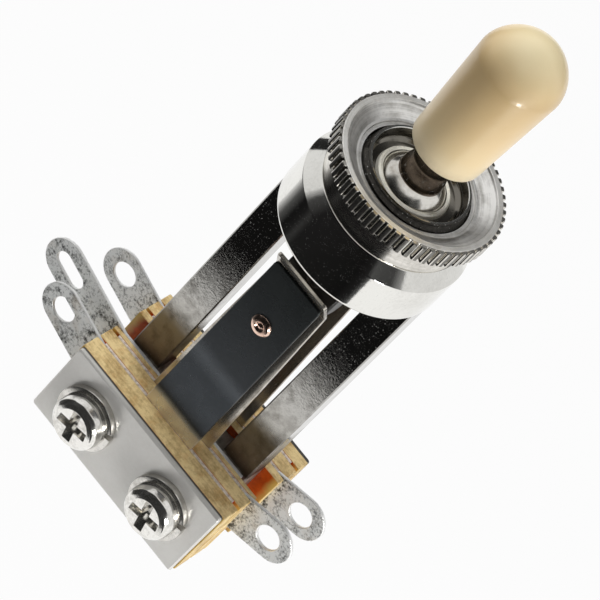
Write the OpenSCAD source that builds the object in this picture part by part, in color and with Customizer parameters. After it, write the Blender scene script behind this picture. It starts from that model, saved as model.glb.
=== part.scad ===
// Three-position panel toggle switch with two rows of contact leaves.
//
// Millimetres. The origin is the centre of the flat shoulder that meets the
// panel. +Z points out of the panel, along the upright lever. The leaf stack
// is built up along Y, and the front row of leaves faces -Y. The lever turns
// about the pivot pin, which lies along X.

/* [Housing] */
// Diameter of the round can behind the panel
can_d = 18.6; // [17.8:0.1:21]
// Height of the can below the panel shoulder
can_h = 6.25; // [5:0.05:9]
// Diameter of the flat shoulder that meets the panel
shoulder_d = 16; // [14.5:0.1:17]
// Height of the bevel between shoulder and can wall
bevel_h = 1.4; // [0.5:0.1:2.2]
// Outer diameter of the bushing thread
thread_d = 11.9; // [11.4:0.05:12.7]
// Pitch of the bushing thread
thread_pitch = 0.794; // [0.6:0.001:1]
// Height of the bushing above the shoulder
bushing_h = 4.5; // [3.8:0.05:6]
// Diameter of the open mouth at the top of the bushing
mouth_d = 10.6; // [9.4:0.1:10.8]
// Depth of the mouth, down to the lip that holds the ball
mouth_depth = 1.7; // [1.2:0.05:2.2]

/* [Lever] */
// Diameter of the ball that the lever turns on
ball_d = 8.6; // [8:0.1:8.8]
// Height of the pivot above the shoulder
pivot_z = 0.8; // [0.4:0.05:1.2]
// Diameter of the pivot pin
pin_d = 1.6; // [1.2:0.1:2]
// Diameter of the neck between ball and tip
neck_d = 4; // [3.4:0.1:4.6]
// Diameter of the flare at the foot of the neck
flare_d = 4.9; // [4.7:0.1:5.6]
// Diameter of the shank below the ball
shank_d = 3; // [2.4:0.1:3.6]
// Diameter of the stud that carries the tip
stud_d = 3.4; // [2.6:0.1:3.8]
// Length of the stud inside the tip
stud_len = 9; // [5:0.5:11]
// Radius of the insulating roller at the lever's foot
roller_r = 2.1; // [1.8:0.05:2.25]
// Length of the roller
roller_len = 6.3; // [5:0.1:8]
// Depth of the roller's axis below the shoulder
roller_depth = 13.3; // [12.6:0.1:13.8]

/* [Tip] */
// Height of the tip's lower edge above the shoulder
tip_z = 8.7; // [7.5:0.1:11]
// Diameter of the tip at its lower edge
tip_base_d = 7.76; // [6.5:0.02:9]
// Diameter of the tip where the dome starts
tip_top_d = 9.1; // [7.5:0.05:11]
// Length of the tip below its dome
tip_cone_h = 12.4; // [10:0.1:16]
// Height of the dome
tip_dome_h = 4.3; // [3:0.1:5.5]
// Radius of the tip's lower edge
tip_edge_r = 0.5; // [0.2:0.05:0.8]

/* [Dress nut] */
// Diameter of the smooth collar
collar_d = 16; // [14.6:0.1:17]
// Height of the smooth collar
collar_h = 2.85; // [1.5:0.05:3.5]
// Distance of the knurled rim inside the can's wall
rim_inset = 0.09; // [0:0.01:0.4]
// Height of the knurled rim
rim_h = 2.1; // [1.5:0.05:3]
// Number of teeth round the rim
teeth = 60; // [40:1:72]
// Depth of the grooves between the teeth
tooth_depth = 0.34; // [0.2:0.02:0.5]
// Outer diameter of the dished face
dish_d = 16.5; // [15:0.1:17]
// Depth of the dished face
dish_depth = 1.0; // [0.5:0.05:1.4]

/* [Frame] */
// Distance of the arms' outer faces inside the can's wall
frame_inset = 0.25; // [0.1:0.05:0.6]
// Width of the window between the arms
window_w = 10.5; // [9.6:0.1:11]
// Thickness of the frame bar
frame_t = 3.2; // [2.6:0.05:4]
// Distance from the can to the leaf stack
arm_len = 30.85; // [29.5:0.05:34]
// Height of the tenons that lock the arms into the can
tenon_h = 2; // [1:0.1:3]

/* [Leaf stack] */
// Width of the clamping plates
plate_w = 22.08; // [21.2:0.02:23]
// Height of the leaf stack
stack_h = 10.2; // [9.6:0.1:12]
// Overhang of the insulating spacers past each end of the plates
spacer_overhang = 0.16; // [0:0.02:0.5]
// Thickness of the leaf sheet
sheet_t = 0.4; // [0.3:0.02:0.5]
// Thickness of the thin spacer next to the grounding lug
thin_t = 0.57; // [0.45:0.01:0.7]
// Thickness of the spacers between inner and outer leaves
middle_t = 1.75; // [1.65:0.05:2.2]
// Thickness of the outermost front spacer
front_outer_t = 2.28; // [1.6:0.02:3]
// Thickness of the outermost rear spacer
rear_outer_t = 1.63; // [1.2:0.01:2.6]
// Thickness of the front clamping plate
front_plate_t = 0.8; // [0.6:0.05:1.4]
// Thickness of the tapped rear plate
rear_plate_t = 1.5; // [1:0.1:2.4]
// Distance of the stack screws from the sides of the frame
screw_edge = 3.3; // [3:0.1:3.8]
// Diameter of the stack screws
screw_d = 2.8; // [2.4:0.1:3]
// Outer diameter of the insulating sleeves on the screws
sleeve_d = 4.4; // [4:0.1:4.8]
// Diameter of the screw heads
head_d = 5.9; // [5.4:0.1:6.6]
// Height of the screw heads
head_h = 1.9; // [1.4:0.1:2.4]
// Outer diameter of the lock washers
washer_d = 7.1; // [6.7:0.1:7.6]
// Thickness of the lock washers
washer_t = 0.8; // [0.5:0.05:1.1]

/* [Leaves] */
// Width of an outer blade where it leaves the stack
outer_root_w = 7; // [6:0.1:8]
// Width of an outer blade at its top
outer_top_w = 6.6; // [5:0.1:7]
// Depth of the outer blades' top below the shoulder
outer_top_depth = 11.5; // [11.4:0.05:14]
// Width of an inner blade where it leaves the stack
inner_root_w = 8.8; // [8:0.1:9.4]
// Width of an inner blade at its top
inner_top_w = 7; // [6:0.1:8]
// Depth of the inner blades' bend below the shoulder
bend_depth = 13.6; // [13.2:0.05:13.6]
// Angle of the inner blades' ramp from upright
ramp_angle = 40; // [34:1:42]
// Length of the ramp
ramp_len = 5.1; // [4:0.1:5.6]
// Height of the contacts above the stack
contact_height = 18.6; // [14:0.1:20]
// Diameter of the contact rivets' heads
contact_d = 2.4; // [2:0.1:3]
// Gap between the open contacts at rest
contact_gap = 0.65; // [0.5:0.05:0.9]

/* [Solder lugs] */
// Width of the solder lugs
lug_w = 5.1; // [4.4:0.1:5.6]
// Diameter of the wire holes
wire_hole_d = 2.8; // [2:0.1:3.2]
// Upward slant of the lugs
lug_slant = 14.5; // [5:0.5:20]
// Reach of the outer leaves' lugs, from the axis to the wire hole
outer_lug_x = 15.65; // [15:0.05:18]
// Reach of the inner leaves' lugs, from the axis to the wire hole
inner_lug_x = 14.95; // [14.6:0.05:18]
// Depth of the wire holes below the top of the stack
lug_drop = 1.45; // [1:0.05:2.5]
// Reach of the grounding lug, from the axis to its slot
ground_lug_x = 18.6; // [18:0.1:21]
// Depth of the grounding lug's slot below the top of the stack
ground_lug_drop = 0.4; // [0.2:0.1:1.5]
// Length of the grounding lug's slot
slot_len = 4.25; // [3:0.05:5]
// Width of the grounding lug's slot
slot_w = 1.9; // [1.4:0.1:2.4]

/* [Fits] */
// Radial play of the ball in its socket
ball_play = 0.08; // [0.05:0.01:0.1]
// Radial play of the pin in the ball
pin_play = 0.05; // [0.02:0.01:0.1]
// Radial gap between nut and bushing thread
thread_play = 0.05; // [0.03:0.01:0.1]
// Radial gap between sleeves and the holes they pass
sleeve_play = 0.05; // [0.03:0.01:0.15]
// Radial gap between the screws and what they pass
screw_play = 0.1; // [0.05:0.01:0.15]

/* [Hidden] */
$fn = 48;

eps = 0.01;
cut = 1;

// Housing and lever
can_r = can_d / 2;
thread_r = thread_d / 2;
can_bottom = -can_h;
thread_depth = thread_pitch / 2;
lip_z = bushing_h - mouth_depth;
lip_round = 0.12;
funnel_h = 0.45;
funnel_in = 0.1;
socket_r = ball_d / 2 + ball_play;
throat_gap = 0.25;
throat_r = socket_r + throat_gap;
seat_drop = 0.5;
throat_top = pivot_z - seat_drop;
pin_inset = 0.35;
pin_len = thread_d - 2 * pin_inset;
neck_sink = 0.1;
neck_foot_z = pivot_z + sqrt(pow(ball_d / 2, 2) - pow(flare_d / 2, 2)) - neck_sink;
neck_sleeve = 0.6;
roller_z = -roller_depth;
hub_wall = 0.7;
hub_r = shank_d / 2 + hub_wall;
hub_h = 3.6;
tip_top_z = tip_z + tip_cone_h;
nut_h = collar_h + rim_h;
rim_d = can_d - 2 * rim_inset;
nut_edge = 0.2;
tooth_chamfer = 0.16;

// Neck of the lever above the ball, as [radius off the flare, height above its foot]
FLARE = [[-0.25, 0.15], [0, 0.45], [-0.1, 0.9]];
neck_taper_h = 2.2;

// Stack levels, measured outward from the middle of the frame bar
frame_w = can_d - 2 * frame_inset;
frame_y = frame_t / 2;
ground_y = frame_y + sheet_t;
inner_y = ground_y + thin_t;
middle_y = inner_y + sheet_t;
outer_y = middle_y + middle_t;
cover_y = outer_y + sheet_t;
front_plate_y = cover_y + front_outer_t;
rear_plate_y = cover_y + rear_outer_t;
front_face_y = front_plate_y + front_plate_t;
rear_face_y = rear_plate_y + rear_plate_t;
stack_top = can_bottom - arm_len;
stack_bottom = stack_top - stack_h;
spacer_w = plate_w + 2 * spacer_overhang;
screw_pitch = frame_w - 2 * screw_edge;
screw_z = stack_top - stack_h / 2;
screw_xs = [-screw_pitch / 2, screw_pitch / 2];
sleeve_hole_r = sleeve_d / 2 + sleeve_play;
screw_hole_r = screw_d / 2 + screw_play;
leaf_inset = 1.05;
screw_tail = 0.6;
screw_point = 0.3;
leaf_half = spacer_w / 2 - leaf_inset;

// Side profiles of the blades, as [outward, up] points of the sheet's middle
blade_lean = 0.8;
blade_bend_r = 0.6;
inner_mid = inner_y + sheet_t / 2;
outer_mid = outer_y + sheet_t / 2;
bend_z = -bend_depth;
inner_bend_y = inner_mid + (bend_z - stack_top) * tan(blade_lean);
inner_path = [
    [inner_mid, stack_top - cut],
    [inner_mid, stack_top],
    [inner_bend_y, bend_z],
    [inner_bend_y + ramp_len * sin(ramp_angle), bend_z + ramp_len * cos(ramp_angle)]
];
outer_top_z = -outer_top_depth;
outer_path = [
    [outer_mid, stack_top - cut],
    [outer_mid, stack_top],
    [outer_mid + (outer_top_z - stack_top) * tan(blade_lean), outer_top_z]
];
contact_rise = contact_height / cos(blade_lean);
button_h = (middle_t * cos(blade_lean) - contact_gap) / 2;
rivet_shank = 0.3;

// Profiles of the round heads, as [share of the radius, height]
RIVET_HEAD = [[0, 0.15], [0.3, 0.2], [0.5, 0.35], [0.8, 0.32], [1, 0.12]];
RIVET_BUTTON = [[1, 0.5], [0.7, 0.9], [0, 1]];
SCREW_HEAD = [[1, 0], [1, 0.35], [0.93, 0.65], [0.75, 0.88], [0.4, 1], [0, 1]];

// ---- helpers ----

// Unit direction from a to b, and the same direction turned a quarter left.
function way(a, b) = (b - a) / norm(b - a);
function left(v) = [-v[1], v[0]];

// Shift of the sheet's face from its middle line at point i of a path.
function face_shift(path, i, t) =
    let (last = len(path) - 1,
         a = way(path[max(i - 1, 0)], path[max(i, 1)]),
         b = way(path[min(i, last - 1)], path[min(i + 1, last)]),
         m = left(a) + left(b))
    m * t / (1 + a * b) / 2;

// Closed outline of a bent sheet of thickness t along a path.
function bent_sheet(path, t) = concat(
    [for (i = [0 : len(path) - 1]) path[i] + face_shift(path, i, t)],
    [for (i = [len(path) - 1 : -1 : 0]) path[i] - face_shift(path, i, t)]
);

// Replaces each inner corner of a path by an arc of radius r.
function rounded(path, r, steps = 4) = [
    for (i = [0 : len(path) - 1])
        each (i == 0 || i == len(path) - 1) ? [path[i]]
            : corner_arc(path[i - 1], path[i], path[i + 1], r, steps)
];
function corner_arc(a, b, c, r, steps, straight = 2) =
    let (u = way(a, b), v = way(b, c),
         turn = atan2(u[0] * v[1] - u[1] * v[0], u * v),
         reach = r * tan(abs(turn) / 2),
         side = sign(turn),
         start = b - u * reach,
         centre = start + left(u) * r * side)
    abs(turn) < straight ? [b]
        : [for (k = [0 : steps])
            centre + r * side * [
                sin(turn * k / steps) * u[0] + cos(turn * k / steps) * u[1],
                sin(turn * k / steps) * u[1] - cos(turn * k / steps) * u[0]
            ]];

// Turns a drawing in the XZ plane into a plate between two Y levels.
module slab(y0, y1) {
    translate([0, y1, 0])
        rotate([90, 0, 0])
            linear_extrude(y1 - y0)
                children();
}

// Turns a drawing in the [outward, up] plane into a bar along X, facing -Y.
module side_bar(w) {
    translate([w / 2, 0, 0])
        rotate([90, 0, -90])
            linear_extrude(w)
                children();
}

// Rod along Y between two levels.
module y_rod(r, y0, y1) {
    translate([0, y0, 0])
        rotate([-90, 0, 0])
            cylinder(r = r, h = y1 - y0);
}

// Places what follows at both screws.
module at_screws() {
    for (x = screw_xs)
        translate([x, 0, screw_z])
            children();
}

// Outline of a stack layer: half width to either side, with the holes.
module layer_outline(x0, x1, hole_r, drop = 0) {
    difference() {
        translate([x0, stack_bottom])
            square([x1 - x0, stack_h - drop]);
        for (x = screw_xs)
            translate([x, screw_z])
                circle(r = hole_r);
    }
}

module spacer(y0, y1) {
    color("peru")
        slab(y0, y1)
            layer_outline(-spacer_w / 2, spacer_w / 2, sleeve_hole_r);
}

// Lug strip that rises outward from the stack and ends in a half circle.
// side is -1 for a lug to the left; eye is its hole, and end_reach how far
// the centre of its rounded end lies beyond that.
module lug_strip(eye, side, end_reach) {
    run = abs(eye[0]) + end_reach - leaf_half + lug_w;
    translate(eye + end_reach * [side * cos(lug_slant), sin(lug_slant)])
        rotate(side * lug_slant)
            union() {
                circle(d = lug_w);
                translate([side > 0 ? -run : 0, -lug_w / 2])
                    square([run, lug_w]);
            }
}

// ---- housing, lever and nut ----

module housing() {
    bare = 0.3;
    turns = floor((bushing_h - 2 * bare) / thread_pitch);
    crest = [0.4, 0.6];
    edge = 0.35;
    wall = concat(
        [[0, can_bottom], [can_r - edge, can_bottom], [can_r, can_bottom + edge]],
        [[can_r, -bevel_h], [shoulder_d / 2, 0], [thread_r - thread_depth, 0]],
        [for (i = [0 : turns - 1])
            each [
                [thread_r - thread_depth, bare + i * thread_pitch],
                [thread_r, bare + (i + crest[0]) * thread_pitch],
                [thread_r, bare + (i + crest[1]) * thread_pitch]
            ]],
        [[thread_r - thread_depth, bare + turns * thread_pitch]],
        [[thread_r - bare / 2, bushing_h - bare], [thread_r - bare, bushing_h], [0, bushing_h]]
    );
    color("silver")
        difference() {
            rotate_extrude($fn = 96)
                polygon(wall);
            rotate_extrude($fn = 96)
                polygon([
                    [0, lip_z + lip_round], [socket_r, lip_z + lip_round],
                    [mouth_d / 2 - funnel_in, lip_z + funnel_h], [mouth_d / 2, bushing_h],
                    [mouth_d / 2, bushing_h + cut], [0, bushing_h + cut]
                ]);
            translate([0, 0, pivot_z])
                sphere(r = socket_r, $fn = 96);
            translate([0, 0, can_bottom - cut])
                cylinder(r = throat_r, h = throat_top - can_bottom + cut);
            translate([-can_r, 0, pivot_z])
                rotate([0, 90, 0])
                    cylinder(d = pin_d, h = can_d);
            tenons();
        }
}

// Tenons on top of the frame's arms; the can's underside has matching slots.
module tenons() {
    arm_w = (frame_w - window_w) / 2;
    tenon_w = arm_w / 2;
    tenon_t = frame_t * 2 / 3;
    for (side = [-1, 1])
        translate([side * (window_w + arm_w) / 2 - tenon_w / 2, -tenon_t / 2, can_bottom])
            cube([tenon_w, tenon_t, tenon_h]);
}

module frame() {
    heel = 1.3;
    sink = 0.9;
    window_bottom = stack_top - sink;
    window_top = can_bottom + cut;
    color("gray")
        union() {
            slab(-frame_y, frame_y)
                difference() {
                    translate([-frame_w / 2, stack_bottom])
                        square([frame_w, stack_h + arm_len]);
                    translate([-window_w / 2, window_bottom + heel])
                        square([window_w, window_top - window_bottom - heel]);
                    translate([-window_w / 2 + heel, window_bottom])
                        square([window_w - 2 * heel, heel + cut]);
                    for (side = [-1, 1])
                        translate([side * (window_w / 2 - heel), window_bottom + heel])
                            circle(r = heel);
                    for (x = screw_xs)
                        translate([x, screw_z])
                            circle(r = sleeve_hole_r);
                }
            tenons();
        }
}

module pivot_pin() {
    color("dimgray")
        translate([-pin_len / 2, 0, pivot_z])
            rotate([0, 90, 0])
                cylinder(d = pin_d, h = pin_len);
}

module lever() {
    neck_r = neck_d / 2;
    flare_r = flare_d / 2;
    shoulder_z = tip_z + neck_sleeve;
    color("gainsboro")
        difference() {
            union() {
                translate([0, 0, pivot_z])
                    sphere(d = ball_d, $fn = 96);
                rotate_extrude()
                    polygon(concat(
                        [[0, pivot_z], [flare_r + FLARE[0][0], pivot_z]],
                        [for (p = FLARE) [flare_r + p[0], neck_foot_z + p[1]]],
                        [[neck_r, neck_foot_z + neck_taper_h], [neck_r, shoulder_z]],
                        [[stud_d / 2, shoulder_z], [stud_d / 2, tip_z + stud_len]],
                        [[0, tip_z + stud_len]]
                    ));
                translate([0, 0, roller_z])
                    cylinder(d = shank_d, h = roller_depth + pivot_z);
            }
            translate([-ball_d, 0, pivot_z])
                rotate([0, 90, 0])
                    cylinder(d = pin_d + 2 * pin_play, h = 2 * ball_d);
        }
}

// Insulating roller with a hub that grips the lever's foot.
module cam() {
    color("#202020")
        difference() {
            union() {
                translate([-roller_len / 2, 0, roller_z])
                    rotate([0, 90, 0])
                        cylinder(r = roller_r, h = roller_len);
                translate([0, 0, roller_z])
                    cylinder(r = hub_r, h = hub_h);
            }
            translate([0, 0, roller_z])
                cylinder(d = shank_d, h = hub_h + cut);
        }
}

module tip() {
    base_r = tip_base_d / 2;
    top_r = tip_top_d / 2;
    roundness = 1.8;
    steps = 14;
    edge_steps = 4;
    edge = [for (k = [0 : edge_steps])
        let (a = 90 * k / edge_steps)
        [base_r - tip_edge_r * (1 - sin(a)), tip_z + tip_edge_r * (1 - cos(a))]];
    dome = [for (k = [0 : steps])
        let (a = 90 * k / steps)
        [top_r * pow(cos(a), 2 / roundness), tip_top_z + tip_dome_h * pow(sin(a), 2 / roundness)]];
    color("wheat")
        difference() {
            rotate_extrude($fn = 96)
                polygon(concat([[0, tip_z]], edge, dome));
            translate([0, 0, tip_z - cut])
                cylinder(d = neck_d, h = neck_sleeve + cut);
            translate([0, 0, tip_z])
                cylinder(d = stud_d, h = stud_len);
        }
}

// Straight-toothed outline of the nut's rim.
module toothed_disc() {
    step = 360 / teeth;
    crest_r = rim_d / 2;
    root_r = crest_r - tooth_depth;
    crest = 0.3;
    root = 0.4;
    corners = [[crest_r, -crest], [crest_r, crest], [root_r, root], [root_r, 1 - root]];
    polygon([for (i = [0 : teeth - 1])
        each [for (c = corners) c[0] * [cos((i + c[1]) * step), sin((i + c[1]) * step)]]]);
}

module dress_nut() {
    bore_r = thread_r + thread_play;
    lip_w = 0.45;
    lip_r = bore_r + lip_w;
    collar_r = collar_d / 2;
    crest_r = rim_d / 2;
    floor_z = nut_h - dish_depth;
    floor_w = 0.3;
    lip_h = 0.25;
    step_h = 0.15;
    color("lightgray")
        difference() {
            union() {
                rotate_extrude($fn = 96)
                    polygon([
                        [0, 0], [collar_r - nut_edge, 0], [collar_r, nut_edge],
                        [collar_r, collar_h + eps], [0, collar_h + eps]
                    ]);
                intersection() {
                    translate([0, 0, collar_h])
                        linear_extrude(rim_h)
                            toothed_disc();
                    rotate_extrude($fn = 96)
                        polygon([
                            [0, collar_h], [crest_r - tooth_chamfer, collar_h],
                            [crest_r + eps, collar_h + tooth_chamfer],
                            [crest_r + eps, nut_h - tooth_chamfer],
                            [crest_r - tooth_chamfer, nut_h], [0, nut_h]
                        ]);
                }
            }
            rotate_extrude($fn = 96)
                polygon([
                    [0, -cut], [bore_r, -cut], [bore_r, floor_z - lip_h],
                    [lip_r, floor_z - lip_h], [lip_r, floor_z], [lip_r + floor_w, floor_z],
                    [dish_d / 2, nut_h - step_h], [dish_d / 2, nut_h + cut], [0, nut_h + cut]
                ]);
        }
}

// ---- leaf stack ----

module front_plate() {
    color("silver")
        slab(-front_face_y, -front_plate_y)
            layer_outline(-plate_w / 2, plate_w / 2, screw_hole_r);
}

module rear_plate() {
    color("silver")
        slab(rear_plate_y, rear_face_y)
            layer_outline(-plate_w / 2, plate_w / 2, screw_d / 2, drop = 1);
}

module spacer_front_outer() { spacer(-front_plate_y, -cover_y); }
module spacer_front_middle() { spacer(-outer_y, -middle_y); }
module spacer_front_inner() { spacer(-inner_y, -ground_y); }
module spacer_rear_inner() { spacer(frame_y, inner_y); }
module spacer_rear_middle() { spacer(middle_y, outer_y); }
module spacer_rear_outer() { spacer(cover_y, rear_plate_y); }

// One leaf of the front row: its clamped sheet, its lug and its blade.
module leaf(level, path, root_w, top_w, lug_x, side) {
    eye = [side * lug_x, stack_top - lug_drop];
    end_reach = 0.4;
    top_z = path[len(path) - 1][1];
    difference() {
        union() {
            slab(-level - sheet_t, -level)
                union() {
                    layer_outline(-leaf_half, leaf_half, sleeve_hole_r);
                    difference() {
                        lug_strip(eye, side, end_reach);
                        translate(eye)
                            circle(d = wire_hole_d);
                        for (x = screw_xs)
                            translate([x, screw_z])
                                circle(r = sleeve_hole_r);
                    }
                }
            intersection() {
                side_bar(root_w + cut)
                    polygon(bent_sheet(rounded(path, blade_bend_r), sheet_t));
                slab(-level - plate_w, -level + plate_w)
                    polygon([
                        [-root_w / 2, stack_top - 2 * cut], [root_w / 2, stack_top - 2 * cut],
                        [root_w / 2, stack_top], [top_w / 2, top_z + cut],
                        [-top_w / 2, top_z + cut], [-root_w / 2, stack_top]
                    ]);
            }
        }
        on_blade(path)
            y_rod(contact_d * rivet_shank, -sheet_t, sheet_t);
    }
}

// Moves what follows to the contact's place on a front blade, facing -Y.
module on_blade(path) {
    translate([0, -path[1][0], stack_top])
        rotate([blade_lean, 0, 0])
            translate([0, 0, contact_rise])
                children();
}

module outer_leaf() {
    color("slategray")
        leaf(outer_y, outer_path, outer_root_w, outer_top_w, outer_lug_x, -1);
}

module inner_leaf() {
    color("darkgray")
        leaf(inner_y, inner_path, inner_root_w, inner_top_w, inner_lug_x, 1);
}

module leaf_front_outer() { outer_leaf(); }
module leaf_front_inner() { inner_leaf(); }
module leaf_rear_inner() { mirror([0, 1, 0]) inner_leaf(); }
module leaf_rear_outer() { mirror([0, 1, 0]) outer_leaf(); }

// Contact rivet along Y: a dimpled head on one face, a domed button on the other.
module contact(path, button_side) {
    head_r = contact_d / 2;
    shank_r = contact_d * rivet_shank;
    face = sheet_t / 2;
    color("peru")
        on_blade(path)
            rotate([button_side * 90, 0, 0])
                rotate_extrude()
                    polygon(concat(
                        [for (p = RIVET_HEAD) [head_r * p[0], -face - p[1]]],
                        [[head_r, -face], [shank_r, -face], [shank_r, face], [head_r, face]],
                        [for (p = RIVET_BUTTON) [head_r * p[0], face + button_h * p[1]]]
                    ));
}

module contact_front_outer() { contact(outer_path, -1); }
module contact_front_inner() { contact(inner_path, 1); }
module contact_rear_inner() { mirror([0, 1, 0]) contact(inner_path, 1); }
module contact_rear_outer() { mirror([0, 1, 0]) contact(outer_path, -1); }

module ground_lug() {
    right_end = frame_w / 2 - 0.45;
    end_reach = 1;
    eye = [-ground_lug_x, stack_top - ground_lug_drop];
    half_slot = (slot_len - slot_w) / 2;
    color("silver")
        slab(-ground_y, -frame_y)
            difference() {
                union() {
                    layer_outline(-leaf_half, right_end, sleeve_hole_r);
                    lug_strip(eye, -1, end_reach);
                }
                translate(eye)
                    rotate(-lug_slant)
                        union() {
                            square([2 * half_slot, slot_w], center = true);
                            for (end = [-half_slot, half_slot])
                                translate([end, 0])
                                    circle(d = slot_w);
                        }
                for (x = screw_xs)
                    translate([x, screw_z])
                        circle(r = sleeve_hole_r);
            }
}

// ---- clamping screws ----

module sleeve(x) {
    color("tan")
        translate([x, 0, screw_z])
            difference() {
                y_rod(sleeve_d / 2, -front_plate_y, rear_plate_y);
                y_rod(screw_hole_r, -front_plate_y - cut, rear_plate_y + cut);
            }
}

module lock_washer(x) {
    split = 0.5;
    split_turn = 20;
    color("dimgray")
        translate([x, 0, screw_z])
            difference() {
                y_rod(washer_d / 2, -front_face_y - washer_t, -front_face_y);
                y_rod(screw_hole_r, -front_face_y - washer_t - cut, -front_face_y + cut);
                rotate([0, split_turn, 0])
                    translate([0, -front_face_y - washer_t - cut, -split / 2])
                        cube([washer_d, washer_t + 2 * cut, split]);
            }
}

module screw(x) {
    head_r = head_d / 2;
    seat_y = front_face_y + washer_t;
    shank_r = screw_d / 2;
    tail_y = -rear_face_y - screw_tail;
    recess_len = head_d * 0.62;
    recess_w = head_d * 0.15;
    recess_depth = head_h * 0.7;
    recess_turn = 12;
    recess_foot = recess_len * 0.2;
    color("lightgray")
        translate([x, 0, screw_z])
            difference() {
                rotate([90, 0, 0])
                    rotate_extrude()
                        polygon(concat(
                            [[0, tail_y], [shank_r - screw_point, tail_y]],
                            [[shank_r, tail_y + screw_point], [shank_r, seat_y]],
                            [for (p = SCREW_HEAD) [head_r * p[0], seat_y + head_h * p[1]]]
                        ));
                intersection() {
                    for (turn = [0, 90])
                        rotate([0, turn + recess_turn, 0])
                            translate([-recess_len / 2, -seat_y - head_h - cut, -recess_w / 2])
                                cube([recess_len, recess_depth + cut, recess_w]);
                    translate([0, -seat_y - head_h + recess_depth, 0])
                        rotate([90, 0, 0])
                            cylinder(r1 = recess_foot, r2 = recess_len, h = recess_depth + cut);
                }
            }
}

module sleeve_left() { sleeve(screw_xs[0]); }
module sleeve_right() { sleeve(screw_xs[1]); }
module lock_washer_left() { lock_washer(screw_xs[0]); }
module lock_washer_right() { lock_washer(screw_xs[1]); }
module screw_left() { screw(screw_xs[0]); }
module screw_right() { screw(screw_xs[1]); }

housing();
frame();
dress_nut();
pivot_pin();
lever();
cam();
tip();
front_plate();
rear_plate();
spacer_front_outer();
spacer_front_middle();
spacer_front_inner();
spacer_rear_inner();
spacer_rear_middle();
spacer_rear_outer();
leaf_front_outer();
leaf_front_inner();
leaf_rear_inner();
leaf_rear_outer();
contact_front_outer();
contact_front_inner();
contact_rear_inner();
contact_rear_outer();
ground_lug();
sleeve_left();
sleeve_right();
lock_washer_left();
lock_washer_right();
screw_left();
screw_right();
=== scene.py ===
"""Dresses the panel toggle switch: its shapes at full detail, its finishes, its stage and its camera."""

import logging
import math
from dataclasses import dataclass
from enum import Enum
from typing import Any, Callable, Iterable, Sequence

import bmesh
import bpy
from mathutils import Matrix, Vector
from mathutils.geometry import delaunay_2d_cdt

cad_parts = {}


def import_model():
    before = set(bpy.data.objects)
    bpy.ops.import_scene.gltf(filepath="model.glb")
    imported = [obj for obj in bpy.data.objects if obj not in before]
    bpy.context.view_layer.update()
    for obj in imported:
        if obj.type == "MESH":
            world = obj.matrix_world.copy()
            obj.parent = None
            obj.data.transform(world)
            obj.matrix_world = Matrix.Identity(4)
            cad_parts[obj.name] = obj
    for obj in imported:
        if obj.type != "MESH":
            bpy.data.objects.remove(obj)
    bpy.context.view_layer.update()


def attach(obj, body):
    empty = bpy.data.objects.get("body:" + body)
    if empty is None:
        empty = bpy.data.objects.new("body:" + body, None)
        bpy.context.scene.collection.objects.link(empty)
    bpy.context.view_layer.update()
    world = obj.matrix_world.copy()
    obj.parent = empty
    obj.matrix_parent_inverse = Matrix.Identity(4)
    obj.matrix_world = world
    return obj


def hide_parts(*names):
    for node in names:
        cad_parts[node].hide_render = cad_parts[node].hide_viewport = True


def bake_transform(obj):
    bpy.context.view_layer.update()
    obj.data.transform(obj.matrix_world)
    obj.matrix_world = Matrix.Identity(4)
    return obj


log = logging.getLogger("toggle_switch")

Pair = tuple[float, float]
Loop = list[Pair]
Tone = tuple[float, float, float, float]
Stops = tuple[tuple[float, Tone], ...]
Finish = bpy.types.Material
Piece = bpy.types.Object

MM = 0.001
FRONT = Matrix(((1, 0, 0, 0), (0, 0, -1, 0), (0, 1, 0, 0), (0, 0, 0, 1)))
TINY = 1e-6
STRAIGHT = 0.04  # a corner that turns less than this, in radians, stays as it is
SIDE_SHARE = 0.46  # the most of a side that one rounding takes
GUARD_SHARE = 0.3  # how far a guard point stands from its rounding, in reaches of that rounding
GUARD_ROOM = 2.7  # how long a side is, in the same reaches, before it gets a guard point
CRISP = 34.0  # edges sharper than this many degrees stay crisp, unless a piece says otherwise


def tone(red: float, green: float, blue: float) -> Tone:
    """Turns a display colour of 0 to 255 into the linear colour that shaders take.

    Args:
        red: Red, from 0 to 255.
        green: Green, likewise.
        blue: Blue, likewise.

    Returns:
        The linear colour, with nothing see-through.
    """

    def linear(value: float) -> float:
        """Undoes the display curve for one channel."""
        share = value / 255
        return share / 12.92 if share <= 0.04045 else ((share + 0.055) / 1.055) ** 2.4

    return linear(red), linear(green), linear(blue), 1.0


# ---- shapes ----


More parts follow.
